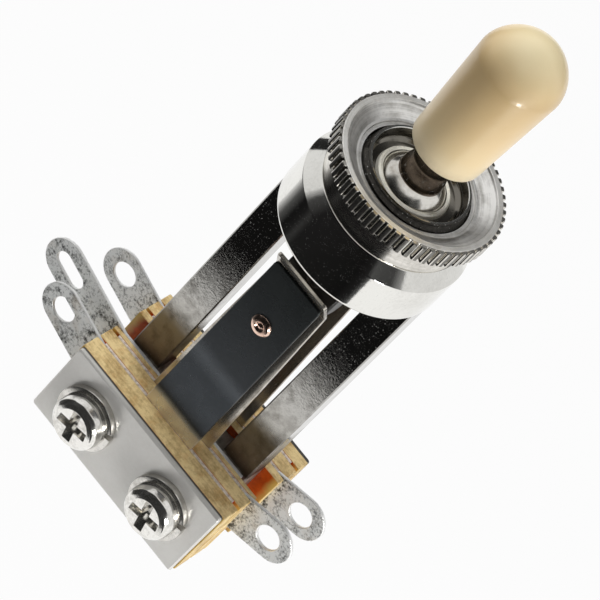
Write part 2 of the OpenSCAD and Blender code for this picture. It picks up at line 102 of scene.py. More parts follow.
def eased(
    path: Sequence[Pair],
    radius: float | Sequence[float],
    steps: int = 3,
    closed: bool = True,
    firm: bool = False,
) -> Loop:
    """Rounds the corners of a path.

    Args:
        path: The corners in order.
        radius: One radius for all corners, or one for each.
        steps: How many short sides replace a corner.
        closed: Whether the last corner joins the first.
        firm: Whether a point stands beside each rounding, so that long sides shade flat.

    Returns:
        The path with its corners rounded.
    """
    made: Loop = []
    last = len(path) - 1
    for i, corner in enumerate(path):
        size = radius[i] if isinstance(radius, (list, tuple)) else radius
        here = Vector(corner)
        before, after = Vector(path[i - 1]) - here, Vector(path[(i + 1) % len(path)]) - here
        if size <= 0 or (not closed and i in (0, last)) or min(before.length, after.length) < TINY:
            made.append((here.x, here.y))
            continue
        opening = before.angle(after)
        if opening > math.pi - STRAIGHT:
            made.append((here.x, here.y))
            continue
        reach = min(size / math.tan(opening / 2), SIDE_SHARE * before.length, SIDE_SHARE * after.length)
        start, end = here + before.normalized() * reach, here + after.normalized() * reach
        shares = [k / steps for k in range(steps + 1)]
        arc = [start * (1 - t) ** 2 + here * 2 * t * (1 - t) + end * t * t for t in shares]
        guard = GUARD_SHARE * reach if firm else 0.0
        if guard and before.length > GUARD_ROOM * reach:
            arc.insert(0, start + before.normalized() * guard)
        if guard and after.length > GUARD_ROOM * reach:
            arc.append(end + after.normalized() * guard)
        made += [(spot.x, spot.y) for spot in arc]
    return made


def rounded(
    corners: Sequence[tuple[Pair, float]], steps: int = 3, closed: bool = True, firm: bool = False
) -> Loop:
    """Rounds corners that each come with their own radius, as eased does.

    Args:
        corners: The corners in order, each with its radius.
        steps: How many short sides replace a corner.
        closed: Whether the last corner joins the first.
        firm: Whether a point stands beside each rounding.

    Returns:
        The path with its corners rounded.
    """
    return eased([spot for spot, _ in corners], [edge for _, edge in corners], steps, closed, firm)


def ring(x: float, z: float, radius: float, steps: int = 40) -> Loop:
    """Returns a circle as a loop of points.

    Args:
        x: Its centre, across.
        z: Its centre, upward.
        radius: Its radius.
        steps: How many points it has.

    Returns:
        The circle.
    """
    return [
        (x + radius * math.cos(math.tau * k / steps), z + radius * math.sin(math.tau * k / steps))
        for k in range(steps)
    ]


def box_loop(x0: float, x1: float, z0: float, z1: float) -> Loop:
    """Returns a rectangle as a loop of points."""
    return [(x0, z0), (x1, z0), (x1, z1), (x0, z1)]


def turned(loop: Iterable[Pair], centre: Pair, degrees: float) -> Loop:
    """Returns a loop drawn about the origin, turned and moved to its centre."""
    c, s = math.cos(math.radians(degrees)), math.sin(math.radians(degrees))
    return [(centre[0] + x * c - z * s, centre[1] + x * s + z * c) for x, z in loop]


def within(spot: Pair, loop: Sequence[Pair]) -> bool:
    """Tells whether a spot lies inside a loop.

    Args:
        spot: The spot.
        loop: The loop.

    Returns:
        Whether it does.
    """
    x, z = spot
    inside = False
    for (ax, az), (bx, bz) in zip(loop, [*loop[1:], loop[0]]):
        if (az > z) != (bz > z) and x < (bx - ax) * (z - az) / (bz - az) + ax:
            inside = not inside
    return inside


@dataclass
class Region:
    """A flat shape: what its loops add, less what its cuts take away."""

    adds: list[Loop]
    cuts: list[Loop]

    def holds(self, spot: Pair) -> bool:
        """Tells whether a spot belongs to the shape."""
        added = any(within(spot, loop) for loop in self.adds)
        return added and not any(within(spot, loop) for loop in self.cuts)

    def triangles(self) -> tuple[list[Pair], list[tuple[int, ...]]]:
        """Fills the shape.

        Returns:
            Its points and its triangles, which turn to the left.
        """
        points: list[Vector] = []
        sides: list[tuple[int, int]] = []
        for loop in [*self.adds, *self.cuts]:
            first = len(points)
            points += [Vector(p) for p in loop]
            sides += [(first + k, first + (k + 1) % len(loop)) for k in range(len(loop))]
        flat, _, faces, *_ = delaunay_2d_cdt(points, sides, [], 0, 1e-5)
        kept = []
        for face in faces:
            middle = sum((flat[i] for i in face), Vector((0, 0))) / len(face)
            if self.holds((middle.x, middle.y)):
                a, b, c = (flat[i] for i in face[:3])
                area = (b.x - a.x) * (c.y - a.y) - (b.y - a.y) * (c.x - a.x)
                kept.append(tuple(face) if area > 0 else tuple(reversed(face)))
        return [(p.x, p.y) for p in flat], kept

    def borders(self) -> list[Loop]:
        """Returns the shape's closed borders, with the shape on their left.

        Returns:
            The loops of points.
        """
        points, faces = self.triangles()
        sides = {(f[k], f[(k + 1) % len(f)]) for f in faces for k in range(len(f))}
        follow = {a: b for a, b in sides if (b, a) not in sides}
        loops = []
        while follow:
            start, here = follow.popitem()
            loop = [start]
            while here != start:
                loop.append(here)
                here = follow.pop(here)
            loops.append([points[i] for i in loop])
        return loops


def inset(loop: Sequence[Pair], depth: float) -> Loop:
    """Moves a border to its left by a depth, with its corners mitred.

    Args:
        loop: The border, with the shape on its left.
        depth: How far it moves.

    Returns:
        The moved border.
    """
    made: Loop = []
    for i, corner in enumerate(loop):
        here = Vector(corner)
        before = here - Vector(loop[i - 1])
        after = Vector(loop[(i + 1) % len(loop)]) - here
        if before.length < 1e-9 or after.length < 1e-9:
            made.append(corner)
            continue
        before.normalize()
        after.normalize()
        left = Vector((-before.y, before.x)) + Vector((-after.y, after.x))
        scale = depth / max(1 + before.dot(after), 0.3)
        made.append((here.x + left.x * scale, here.y + left.y * scale))
    return made


class Mould:
    """Collects closed shells in millimetres and casts them into one object."""

    def __init__(self, name: str) -> None:
        """Starts an empty mould for the piece of that name."""
        self.name = name
        self.bm = bmesh.new()

    def _vertex(self, place: Matrix, x: float, y: float, z: float) -> bmesh.types.BMVert:
        """Adds one vertex at its place."""
        return self.bm.verts.new(place @ Vector((x, y, z)))

    def lathe(
        self, profile: Sequence[Pair], segments: int = 96, closed: bool = True, place: Matrix = Matrix()
    ) -> "Mould":
        """Turns a profile of (radius, height) points about the local Z axis.

        Args:
            profile: The profile's points in order.
            segments: How many steps go round.
            closed: Whether the last point joins the first.
            place: Where the turned shape goes.

        Returns:
            This mould.
        """
        rows = []
        for radius, height in profile:
            if radius < 1e-6:
                rows.append([self._vertex(place, 0, 0, height)])
                continue
            rows.append([
                self._vertex(place, radius * math.cos(math.tau * k / segments),
                             radius * math.sin(math.tau * k / segments), height)
                for k in range(segments)
            ])
        pairs = list(zip(rows, rows[1:]))
        if closed and len(rows[0]) > 1:
            pairs.append((rows[-1], rows[0]))
        for low, high in pairs:
            for k in range(segments):
                n = (k + 1) % segments
                corners = [low[k % len(low)], low[n % len(low)], high[n % len(high)], high[k % len(high)]]
                face = list(dict.fromkeys(corners))
                if len(face) > 2:
                    self.bm.faces.new(face)
        return self

    def prism(
        self,
        region: Region,
        low: float,
        high: float,
        chamfer: float | Pair = 0.06,
        place: Matrix = FRONT,
    ) -> "Mould":
        """Gives a flat shape its thickness, with chamfered edges.

        Args:
            region: The shape, in the plane that place turns to face the front.
            low: The level of its first face.
            high: The level of its second face.
            chamfer: The width of the chamfer along every edge, or one for each face.
            place: The matrix that stands the drawing up.

        Returns:
            This mould.
        """
        borders = region.borders()
        under, over = chamfer if isinstance(chamfer, tuple) else (chamfer, chamfer)
        first_face = [inset(loop, under) for loop in borders]
        last_face = [inset(loop, over) for loop in borders]
        levels = [(first_face, low), (borders, low + under), (borders, high - over), (last_face, high)]
        stacks = [
            [[self._vertex(place, x, z, level) for x, z in loop] for loop in loops]
            for loops, level in levels
        ]
        for lower, upper in zip(stacks, stacks[1:]):
            for a, b in zip(lower, upper):
                for k in range(len(a)):
                    n = (k + 1) % len(a)
                    self.bm.faces.new((a[k], a[n], b[n], b[k]))
        for rows, shrunk, flip in ((stacks[0], first_face, True), (stacks[-1], last_face, False)):
            flat = [v for row in rows for v in row]
            spots = [Vector(p) for loop in shrunk for p in loop]
            sides, first = [], 0
            for loop in shrunk:
                sides += [(first + k, first + (k + 1) % len(loop)) for k in range(len(loop))]
                first += len(loop)
            _, _, faces, origin, *_ = delaunay_2d_cdt(spots, sides, [], 0, 1e-6)
            for face in faces:
                ids = [origin[i][0] for i in face]
                middle = sum((spots[i] for i in ids), Vector((0, 0))) / len(ids)
                crossings = sum(within((middle.x, middle.y), loop) for loop in shrunk)
                if crossings % 2:
                    corners = [flat[i] for i in (reversed(ids) if flip else ids)]
                    self.bm.faces.new(corners)
        return self

    def sweep(self, rows: Sequence[Sequence[Vector]]) -> "Mould":
        """Joins equal rings of points into a bar with capped ends.

        Args:
            rows: The rings of points in order, in millimetres.

        Returns:
            This mould.
        """
        made = [[self.bm.verts.new(p) for p in row] for row in rows]
        for a, b in zip(made, made[1:]):
            for k in range(len(a)):
                n = (k + 1) % len(a)
                self.bm.faces.new((a[k], a[n], b[n], b[k]))
        self.bm.faces.new(list(reversed(made[0])))
        self.bm.faces.new(made[-1])
        return self

    def slice_levels(self, levels: Iterable[float]) -> "Mould":
        """Cuts the shell at heights along Z, so that it can bend there.

        Args:
            levels: The heights, in millimetres.

        Returns:
            This mould.
        """
        for level in levels:
            geometry = [*self.bm.verts, *self.bm.edges, *self.bm.faces]
            bmesh.ops.bisect_plane(
                self.bm, geom=geometry, plane_co=(0, 0, level), plane_no=(0, 0, 1), dist=1e-5)
        return self

    def reshape(self, rule: Callable[[Vector], Vector]) -> "Mould":
        """Moves every vertex by a rule.

        Args:
            rule: Gives the new place of a vertex from its old one.

        Returns:
            This mould.
        """
        for v in self.bm.verts:
            v.co = rule(v.co.copy())
        return self

    def cast(
        self,
        finishes: Sequence[Finish],
        crease: float = CRISP,
        choose: Callable[[Vector], int] | None = None,
    ) -> Piece:
        """Makes the object, in metres, with its faces outward.

        Each face also keeps how squarely it looks to the front or the back, which some finishes read.

        Args:
            finishes: Its materials.
            crease: Edges sharper than this many degrees stay crisp.
            choose: Gives the number of a face's material from its centre, in millimetres.

        Returns:
            The new object.
        """
        bmesh.ops.recalc_face_normals(self.bm, faces=self.bm.faces)
        for face in self.bm.faces:
            face.smooth = True
            if choose:
                face.material_index = choose(face.calc_center_median())
        bmesh.ops.scale(self.bm, vec=Vector((MM, MM, MM)), verts=self.bm.verts)
        mesh = bpy.data.meshes.new(self.name)
        self.bm.to_mesh(mesh)
        self.bm.free()
        mesh.set_sharp_from_angle(angle=math.radians(crease))
        broadside = mesh.attributes.new("broadside", "FLOAT", "FACE")
        broadside.data.foreach_set("value", [face.normal.y ** 2 for face in mesh.polygons])
        for finish in finishes:
            mesh.materials.append(finish)
        piece = bpy.data.objects.new(self.name, mesh)
        bpy.context.scene.collection.objects.link(piece)
        return piece


def settle(piece: Piece, body: str, nodes: Sequence[str] = ()) -> Piece:
    """Seats a piece on its body and lets it stand for the nodes it replaces.

    Args:
        piece: The piece.
        body: The body that it moves with.
        nodes: The nodes that it stands for.

    Returns:
        The same piece.
    """
    if nodes:
        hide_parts(*nodes)
    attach(piece, body)
    log.info("%s: %d faces, on %s", piece.name, len(piece.data.polygons), body)
    return piece


# ---- finishes ----


class Wire:
    """A shader socket that takes part in sums."""

    def __init__(self, kit: "Kit", socket: bpy.types.NodeSocket) -> None:
        """Wraps one output socket."""
        self.kit = kit
        self.socket = socket

    def _math(self, operation: str, first: Any, second: Any = 0.0) -> "Wire":
        """Adds one Math node."""
        return self.kit.node("ShaderNodeMath", {"operation": operation}, {0: first, 1: second})

    def __add__(self, other: Any) -> "Wire":
        """Sum."""
        return self._math("ADD", self, other)

    __radd__ = __add__

    def __sub__(self, other: Any) -> "Wire":
        """Difference."""
        return self._math("SUBTRACT", self, other)

    def __rsub__(self, other: Any) -> "Wire":
        """Reflected difference."""
        return self._math("SUBTRACT", other, self)

    def __mul__(self, other: Any) -> "Wire":
        """Product."""
        return self._math("MULTIPLY", self, other)

    __rmul__ = __mul__

    def __truediv__(self, other: Any) -> "Wire":
        """Quotient."""
        return self._math("DIVIDE", self, other)

    def __pow__(self, other: Any) -> "Wire":
        """Power."""
        return self._math("POWER", self, other)

    def clip(self) -> "Wire":
        """Keeps the value from 0 to 1."""
        return self.kit.node("ShaderNodeClamp", {}, {0: self})

    def span(self, low: float, high: float, start: float = 0.0, end: float = 1.0) -> "Wire":
        """Maps low..high to start..end, and stops there.

        Args:
            low: The value that gives the start.
            high: The value that gives the end.
            start: The first result.
            end: The last result.

        Returns:
            The mapped value.
        """
        limits = {0: self, 1: low, 2: high, 3: start, 4: end}
        return self.kit.node("ShaderNodeMapRange", {"clamp": True}, limits)


class Kit:
    """Builds the node tree of one material."""

    def __init__(self, name: str) -> None:
        """Starts a material with an empty tree and a Principled shader.

        Args:
            name: The material's name.
        """
        self.material = bpy.data.materials.new(name)
        self.material.use_nodes = True
        self.tree = self.material.node_tree
        self.tree.nodes.clear()
        self.out = self.tree.nodes.new("ShaderNodeOutputMaterial")
        self.place = self.node("ShaderNodeVectorMath", {"operation": "SCALE"},
                               {0: self.node("ShaderNodeTexCoord", {}, {}, "Object"), "Scale": 1 / MM})

    def node(self, kind: str, settings: dict[str, Any], inputs: dict[Any, Any], out: Any = 0) -> Wire:
        """Adds any node.

        Args:
            kind: The node's type.
            settings: Its settings, or the stops of its ramp.
            inputs: Values or wires for its sockets, by name or number.
            out: The output to hand back, by name or number.

        Returns:
            The wire of that output.
        """
        node = self.tree.nodes.new(kind)
        for key, value in settings.items():
            if key == "stops":
                while len(node.color_ramp.elements) < len(value):
                    node.color_ramp.elements.new(0.5)
                for stop, (position, colour) in zip(node.color_ramp.elements, value):
                    stop.position, stop.color = position, colour
            else:
                setattr(node, key, value)
        for key, value in inputs.items():
            if isinstance(value, Wire):
                self.tree.links.new(value.socket, node.inputs[key])
            else:
                node.inputs[key].default_value = value
        return Wire(self, node.outputs[out])

    def axes(self) -> tuple[Wire, Wire, Wire]:
        """Returns the place on the part, in millimetres, as three wires.

        Returns:
            The wires of x, y and z.
        """
        split = self.node("ShaderNodeSeparateXYZ", {}, {0: self.place})
        outputs = split.socket.node.outputs
        return tuple(Wire(self, outputs[k]) for k in range(3))

    def vector(self, x: Any, y: Any, z: Any) -> Wire:
        """Joins three values into a vector."""
        return self.node("ShaderNodeCombineXYZ", {}, {0: x, 1: y, 2: z})

    def noise(self, scale: float, detail: float = 3, rough: float = 0.55, where: Wire | None = None) -> Wire:
        """Returns smooth noise from 0 to 1, with scale waves to the millimetre.

        Args:
            scale: Waves to the millimetre.
            detail: How many finer layers are added.
            rough: How strong the finer layers are.
            where: The place that it reads, if not the part itself.

        Returns:
            The noise.
        """
        field = {"Vector": where or self.place, "Scale": scale, "Detail": detail, "Roughness": rough}
        return self.node("ShaderNodeTexNoise", {"noise_dimensions": "3D"}, field)

    def specks(self, scale: float, size: float, share: float) -> Wire:
        """Returns a mask of scattered specks.

        Args:
            scale: Cells to the millimetre.
            size: Radius of a speck, as a share of its cell.
            share: How many of the cells hold a speck.

        Returns:
            1 on a speck, 0 elsewhere.
        """
        cells = {"Vector": self.place, "Scale": scale}
        cell = self.node("ShaderNodeTexVoronoi", {"feature": "F1"}, cells)
        lot = self.node("ShaderNodeSeparateXYZ", {}, {0: Wire(self, cell.socket.node.outputs["Color"])})
        return cell.span(size, size * 0.4) * lot.span(1 - share, 1.02 - share)

    def hairlines(self, scale: float, width: float) -> Wire:
        """Returns a mask of fine wandering scratches.

        Args:
            scale: Waves of the field that they follow, to the millimetre.
            width: Their width, as a share of the field.

        Returns:
            1 on a scratch, 0 elsewhere.
        """
        middle = self.noise(scale, 1, 0.4) - 0.5
        return (middle * middle).span(width * width, 0.0) * self.noise(0.45, 2, 0.5).span(0.5, 0.62)

    def broadside(self) -> Wire:
        """Returns 1 where the surface faces the front or the back squarely, down to 0 where it is an edge."""
        return self.node("ShaderNodeAttribute", {"attribute_name": "broadside"}, {}, "Fac")

    def mix(self, share: Any, first: Any, second: Any) -> Wire:
        """Mixes two colours."""
        return self.node("ShaderNodeMix", {"data_type": "RGBA"}, {0: share, 6: first, 7: second}, 2)

    def ramp(self, value: Wire, stops: Sequence[tuple[float, Tone]]) -> Wire:
        """Colours a value by its stops."""
        return self.node("ShaderNodeValToRGB", {"stops": stops}, {0: value})

    def graded(self, height: Wire, stops: Stops) -> Wire:
        """Colours a height by stops that are given in millimetres.

        Args:
            height: The height, in millimetres.
            stops: The heights and their colours, from the lowest.

        Returns:
            The colour.
        """
        low, high = stops[0][0], stops[-1][0]
        shares = [((level - low) / (high - low), colour) for level, colour in stops]
        return self.ramp(height.span(low, high), shares)

    def bump(self, height: Wire, depth: float) -> Wire:
        """Returns the normal of a relief that is depth millimetres deep."""
        return self.node("ShaderNodeBump", {}, {"Height": height, "Distance": depth * MM})

    def finish(self, **inputs: Any) -> Finish:
        """Feeds the shader, whose sockets are named with underscores, and returns the material.

        Args:
            inputs: The shader's sockets, with values or wires.

        Returns:
            The finished material.
        """
        named = {key.replace("_", " "): value for key, value in inputs.items()}
        shader = self.node("ShaderNodeBsdfPrincipled", {}, named)
        self.tree.links.new(shader.socket, self.out.inputs[0])
        return self.material


# Pale colour of the painted glint specks and of the scratches on plated steel.
PALE_GLINT_AND_SCRATCH = (0.8, 0.8, 0.78, 1.0)
# Pale colour of the painted glint flecks on graded steel.
PAINTED_GLINT = (0.75, 0.75, 0.72, 1.0)
# Painted highlight and shadow colours of the grain.
GRAIN_HIGHLIGHT = (0.85, 0.85, 0.82, 1.0)
GRAIN_SHADOW = (0.01, 0.01, 0.01, 1.0)
# Colour of the painted shadow line at a joint.
JOINT_SHADOW = (0.03, 0.028, 0.025, 1.0)
BROWN_SCALE = tone(70, 62, 52)
GLINT_AND_SCRATCH_DULLING = 0.8  # how much of its metallic look a painted glint speck or a scratch loses
GRIME = tone(120, 96, 62)
CUT_TIN = tone(250, 250, 248)


class Lay(Enum):
    """Which way the fine marks of a metal surface run."""

    GRAIN = "grain"
    TURNED = "turned"
    ROUND = "round"
    ALONG = "along"


@dataclass(frozen=True)
class PlatedSteel:
    """Plated steel with grain, dull patches, fine marks, scratches, and bright specks painted in as glints.
    """

    name: str
    bright: Tone
    dull: Tone
    roughness: float
    metallic: float = 1.0
    grain: float = 0.02
    patch: float = 0.45
    lay: Lay = Lay.GRAIN
    lines: float = 0.3
    sparkle: float = 0.0
    scratches: float = 0.0
    seam: Pair | None = None
    speck_scale: float = 5.5
    speck_size: float = 0.3
    speck_share: float = 0.3
    scratch_scale: float = 1.4
    scratch_width: float = 0.007

    def marks(self, kit: Kit) -> Wire:
        """Returns the fine marks, laid the way that the surface was worked.

        Args:
            kit: The tree that they go into.

        Returns:
            Noise that is drawn out along the marks.
        """
        x, y, z = kit.axes()
        radius = (x * x + y * y) ** 0.5
        if self.lay is Lay.TURNED:
            return kit.noise(3.4, 3, 0.7, kit.vector(radius, x * 0.03, z * 0.2))
        if self.lay is Lay.ROUND:
            return kit.noise(4.0, 2, 0.6, kit.vector(x * 0.04, radius * 0.2, z))
        if self.lay is Lay.ALONG:
            return kit.noise(5.0, 3, 0.6, kit.vector(x, y, z * 0.08))
        return kit.noise(4.2, 4, 0.7)

    def material(self) -> Finish:
        """Builds the material.

        Returns:
            The material.
        """
        kit = Kit(self.name)
        marks = self.marks(kit)
        fine = kit.noise(2.4, 3, 0.65)
        patches = (kit.noise(self.patch, 4, 0.6) - 0.42) * 2.0
        share = (patches + (fine - 0.5) * 0.6 + (marks - 0.5) * 2 * self.lines).clip()
        colour, metallic = kit.mix(share, self.bright, self.dull), self.metallic
        if self.sparkle or self.scratches:
            # Bright specks are painted glints: pale, dulled dots that stand in for light caught by pits in
            # the plating. The scratches are wear.
            specks = kit.specks(self.speck_scale, self.speck_size, self.speck_share) * fine.span(0.42, 0.6)
            scratches = kit.hairlines(self.scratch_scale, self.scratch_width)
            glints_and_scratches = (specks * self.sparkle + scratches * self.scratches).clip()
            colour = kit.mix(glints_and_scratches, colour, PALE_GLINT_AND_SCRATCH)
            metallic = (1 - glints_and_scratches * GLINT_AND_SCRATCH_DULLING) * self.metallic
        # A painted shadow line along the back edge, where the plate meets the board.
        if self.seam:
            _, y, _ = kit.axes()
            colour = kit.mix(y.span(self.seam[0], self.seam[1]) * 0.9, colour, JOINT_SHADOW)
        rough = (share * 0.1 + (marks - 0.5) * 0.1 + self.roughness).clip()
        return kit.finish(
            Base_Color=colour,
            Roughness=rough,
            Metallic=metallic,
            Normal=kit.bump(marks * 0.7 + fine * 0.5, self.grain),
        )


@dataclass(frozen=True)
class GradedSteel:
    """Steel whose colour changes along the part, by stops that carry both the plating's tone and painted
    light and shade.
    """

    name: str
    stops: Stops
    roughness: float
    metallic: float
    grain: float
    grain_size: float
    wander: float
    sparkle: float = 0.0
    haze: float = 0.0
    tarnish: float = 0.0
    tarnish_z: Pair = (-19.0, -24.0)
    glint_z: Pair = (-26.0, -20.0)
    haze_z: Pair = (-28.0, -33.0)
    shade_for_grain: float = 9.0

    def material(self) -> Finish:
        """Builds the material, with its stops at heights in millimetres.

        Returns:
            The material.
        """
        kit = Kit(self.name)
        _, _, z = kit.axes()
        marks = kit.noise(1 / self.grain_size, 4, 0.7)
        cloud = kit.noise(0.35, 3, 0.6)
        base = kit.graded(z + (cloud - 0.5) * self.wander, self.stops)
        if self.tarnish:
            smoke = ((kit.noise(0.55, 4, 0.65) - 0.46) * 4).clip() * z.span(*self.tarnish_z)
            base = kit.mix(smoke * self.tarnish, base, BROWN_SCALE)
        # Painted light and shade of the grain: a shaded copy darkens the low marks and a lit copy lightens
        # the high ones.
        shaded = kit.mix(((0.5 - marks) * 1.6).clip(), base, GRAIN_SHADOW)
        lit = kit.mix(((marks - 0.52) * 2.2).clip() * 0.6, shaded, GRAIN_HIGHLIGHT)
        colour = kit.mix(min(1.0, self.grain * self.shade_for_grain), base, lit)
        rough, metallic = (cloud - 0.5) * 0.2 + self.roughness, self.metallic
        if self.sparkle:
            # Flecks of painted glint: pale, dulled dots that stand in for light caught by the rough plating.
            painted_glints = kit.specks(4.2, 0.4, 0.4) * marks.span(0.42, 0.6) * z.span(*self.glint_z, 0.12, 1)
            painted_glints = painted_glints * self.sparkle
            colour = kit.mix(painted_glints, colour, PAINTED_GLINT)
            metallic = (1 - painted_glints * GLINT_AND_SCRATCH_DULLING) * self.metallic
        if self.haze:
            rough = rough + z.span(*self.haze_z, 0, self.haze)
        return kit.finish(
            Base_Color=colour,
            Roughness=rough.clip(),
            Metallic=metallic,
            Normal=kit.bump(marks, self.grain),
        )


@dataclass(frozen=True)
class LaminatedBoard:
    """Resin board: pale, mottled cut edges and warm, glossy faces that fade to yellow at the ends."""

    name: str
    edge: Tone
    edge_dark: Tone
    face: Tone
    face_dark: Tone
    face_end: Tone
    resin: Tone
    fade_x: Pair = (10.2, 11.1)

    def material(self) -> Finish:
        """Builds the material.

        Returns:
            The material.
        """
        kit = Kit(self.name)
        x, y, z = kit.axes()
        flat = kit.broadside().span(0.35, 0.8)
        plies = kit.noise(4.0, 2, 0.5, kit.vector(x * 0.12, y, z * 0.12))
        mottle = kit.noise(0.5, 4, 0.65)
        specks = kit.noise(2.6, 4, 0.75)
        share = ((plies - 0.5) * 0.8 + (mottle - 0.5) * 2.2 + (specks - 0.5) * 1.3 + 0.26).clip()
        soaked = kit.noise(0.7, 3, 0.6, kit.vector(x, y * 0.6, z))
        resin = ((soaked - 0.54) * 4).clip() * 0.55
        ends = ((x * x) ** 0.5 + (mottle - 0.5) * 1.0).span(*self.fade_x)
        warm = kit.mix(((mottle - 0.38) * 2.6).clip(), self.face, self.face_dark)
        cut = kit.mix(resin, kit.mix(share, self.edge, self.edge_dark), self.resin)
        return kit.finish(
            Base_Color=kit.mix(flat, cut, kit.mix(ends, warm, self.face_end)),
            Roughness=(flat * -0.36 + 0.58 + (specks - 0.5) * 0.2).clip(),
            Normal=kit.bump(plies * 0.5 + specks * 0.7, 0.03),
        )


@dataclass(frozen=True)
class MouldedPlastic:
    """Moulded plastic with a soft gloss, faint clouding and, where given, light and shade painted by height.
    """

    name: str
    colour: Tone
    shade: Tone
    roughness: float
    coat: float = 0.0
    dirt: float = 0.0
    dirt_z: Pair = (8.7, 10.2)
    light_by_height: Stops = ()
    light_by_height_share: float = 0.75

    def material(self) -> Finish:
        """Builds the material.

        Returns:
            The material.
        """
        kit = Kit(self.name)
        cloud = kit.noise(0.22, 3, 0.5)
        fine = kit.noise(1.5, 3, 0.6)
        base = kit.mix(((cloud - 0.4) * 1.8 + (fine - 0.5) * 0.4).clip(), self.colour, self.shade)
        _, _, z = kit.axes()
        # Painted light and shade by height, mixed over the plastic's own colour.
        if self.light_by_height:
            base = kit.mix(self.light_by_height_share, base, kit.graded(z + (cloud - 0.5) * 2, self.light_by_height))
        if self.dirt:
            base = kit.mix((z.span(*self.dirt_z, 1, 0) * fine * self.dirt).clip(), base, GRIME)
        return kit.finish(
            Base_Color=base,
            Roughness=(self.roughness + (fine - 0.5) * 0.12).clip(),
            Coat_Weight=self.coat,
            Coat_Roughness=0.12,
            Normal=kit.bump(fine, 0.006),
        )


@dataclass(frozen=True)
class TinnedSheet:
    """Dull tinned sheet with dark, crystalline mottling, grime at its root and bright cut edges."""

    name: str
    light: Tone
    dark: Tone
    stain: Tone
    root_x: Pair = (12.2, 10.9)

    def material(self) -> Finish:
        """Builds the material.

        Returns:
            The material.
        """
        kit = Kit(self.name)
        blotch = kit.noise(0.85, 5, 0.72)
        grit = kit.noise(3.4, 4, 0.75)
        smear = kit.noise(0.3, 3, 0.5)
        x, _, _ = kit.axes()
        root = ((x * x) ** 0.5).span(*self.root_x) * blotch.span(0.42, 0.6)
        share = ((blotch - 0.54) * 3.6 + (grit - 0.5) * 2.2 + 0.24 + root * 0.8).clip()
        stained = (smear - 0.55).span(0.0, 0.2) * 0.45
        colour = kit.mix(stained, kit.mix(share, self.light, self.dark), self.stain)
        sheared = kit.broadside().span(0.85, 0.4) * grit.span(0.3, 0.45)
        return kit.finish(
            Base_Color=kit.mix(sheared, colour, CUT_TIN),
            Roughness=(share * 0.2 + 0.4).clip(),
            Metallic=0.5,
            Normal=kit.bump(grit * 0.6 + blotch * 0.8, 0.03),
        )


def barrelled_nickel() -> GradedSteel:
    """Returns the frame's finish: barrel nickel over its height, dark at the foot with painted shade where
    the stack shades it.

    Returns:
        The finish, with its stops at heights in millimetres.
    """
    return GradedSteel("frame_barrel_nickel_shaded_foot", (
        (-47.3, tone(176, 172, 164)),
        (-37.2, tone(176, 172, 164)),
        # Painted shade: the foot by the stack is dark and brightens up to about -29.5 mm.
        (-36.9, tone(54, 44, 36)),
        (-35.7, tone(112, 102, 94)),
        (-34.4, tone(146, 138, 128)),
        (-31.5, tone(166, 161, 152)),
        (-29.5, tone(182, 179, 172)),
        (-26.0, tone(186, 184, 179)),
        (-6.2, tone(176, 174, 170)),
    ), 0.07, 1.0, 0.006, grain_size=0.3, wander=1.2, sparkle=0.7, haze=0.42, tarnish=0.6)


def blued_blade() -> GradedSteel:
    """Returns the outer blades' finish: blued, pale at the foot with painted light where it leaves the stack,
    and darker toward the top with painted shade under the can and nut.

    Returns:
        The finish, with its stops at heights in millimetres.
    """
    return GradedSteel("blade_blued_painted_light_and_shade", (
        (-47.3, tone(226, 220, 206)),
        # Painted light at the foot, and painted shade deepening toward the top.
        (-36.9, tone(226, 220, 206)),
        (-35.5, tone(206, 202, 192)),
        (-35.2, tone(160, 164, 168)),
        (-34.6, tone(66, 70, 74)),
        (-28.8, tone(64, 68, 72)),
        (-27.2, tone(88, 92, 96)),
        (-25.6, tone(64, 67, 70)),
        (-11.4, tone(54, 58, 58)),
    ), 0.28, 0.8, 0.004, grain_size=0.5, wander=0.3)


def ivory() -> MouldedPlastic:
    """Returns the tip's finish: ivory with light and shade painted by height: pale at the foot, deeper up the
    sides and light again on the dome.

    Returns:
        The finish, with its stops at heights in millimetres.
    """
    light_by_height = (
        (9.0, tone(255, 240, 205)),
        (12.0, tone(248, 222, 172)),
        (15.0, tone(238, 208, 156)),
        (18.0, tone(224, 192, 138)),
        (21.5, tone(208, 176, 122)),
        (23.0, tone(240, 212, 160)),
        (25.2, tone(255, 240, 196)),
    )
    return MouldedPlastic(
        "tip_ivory_gloss_painted_light", tone(242, 216, 168), tone(230, 200, 148), 0.36, coat=0.4, dirt=0.5, light_by_height=light_by_height)


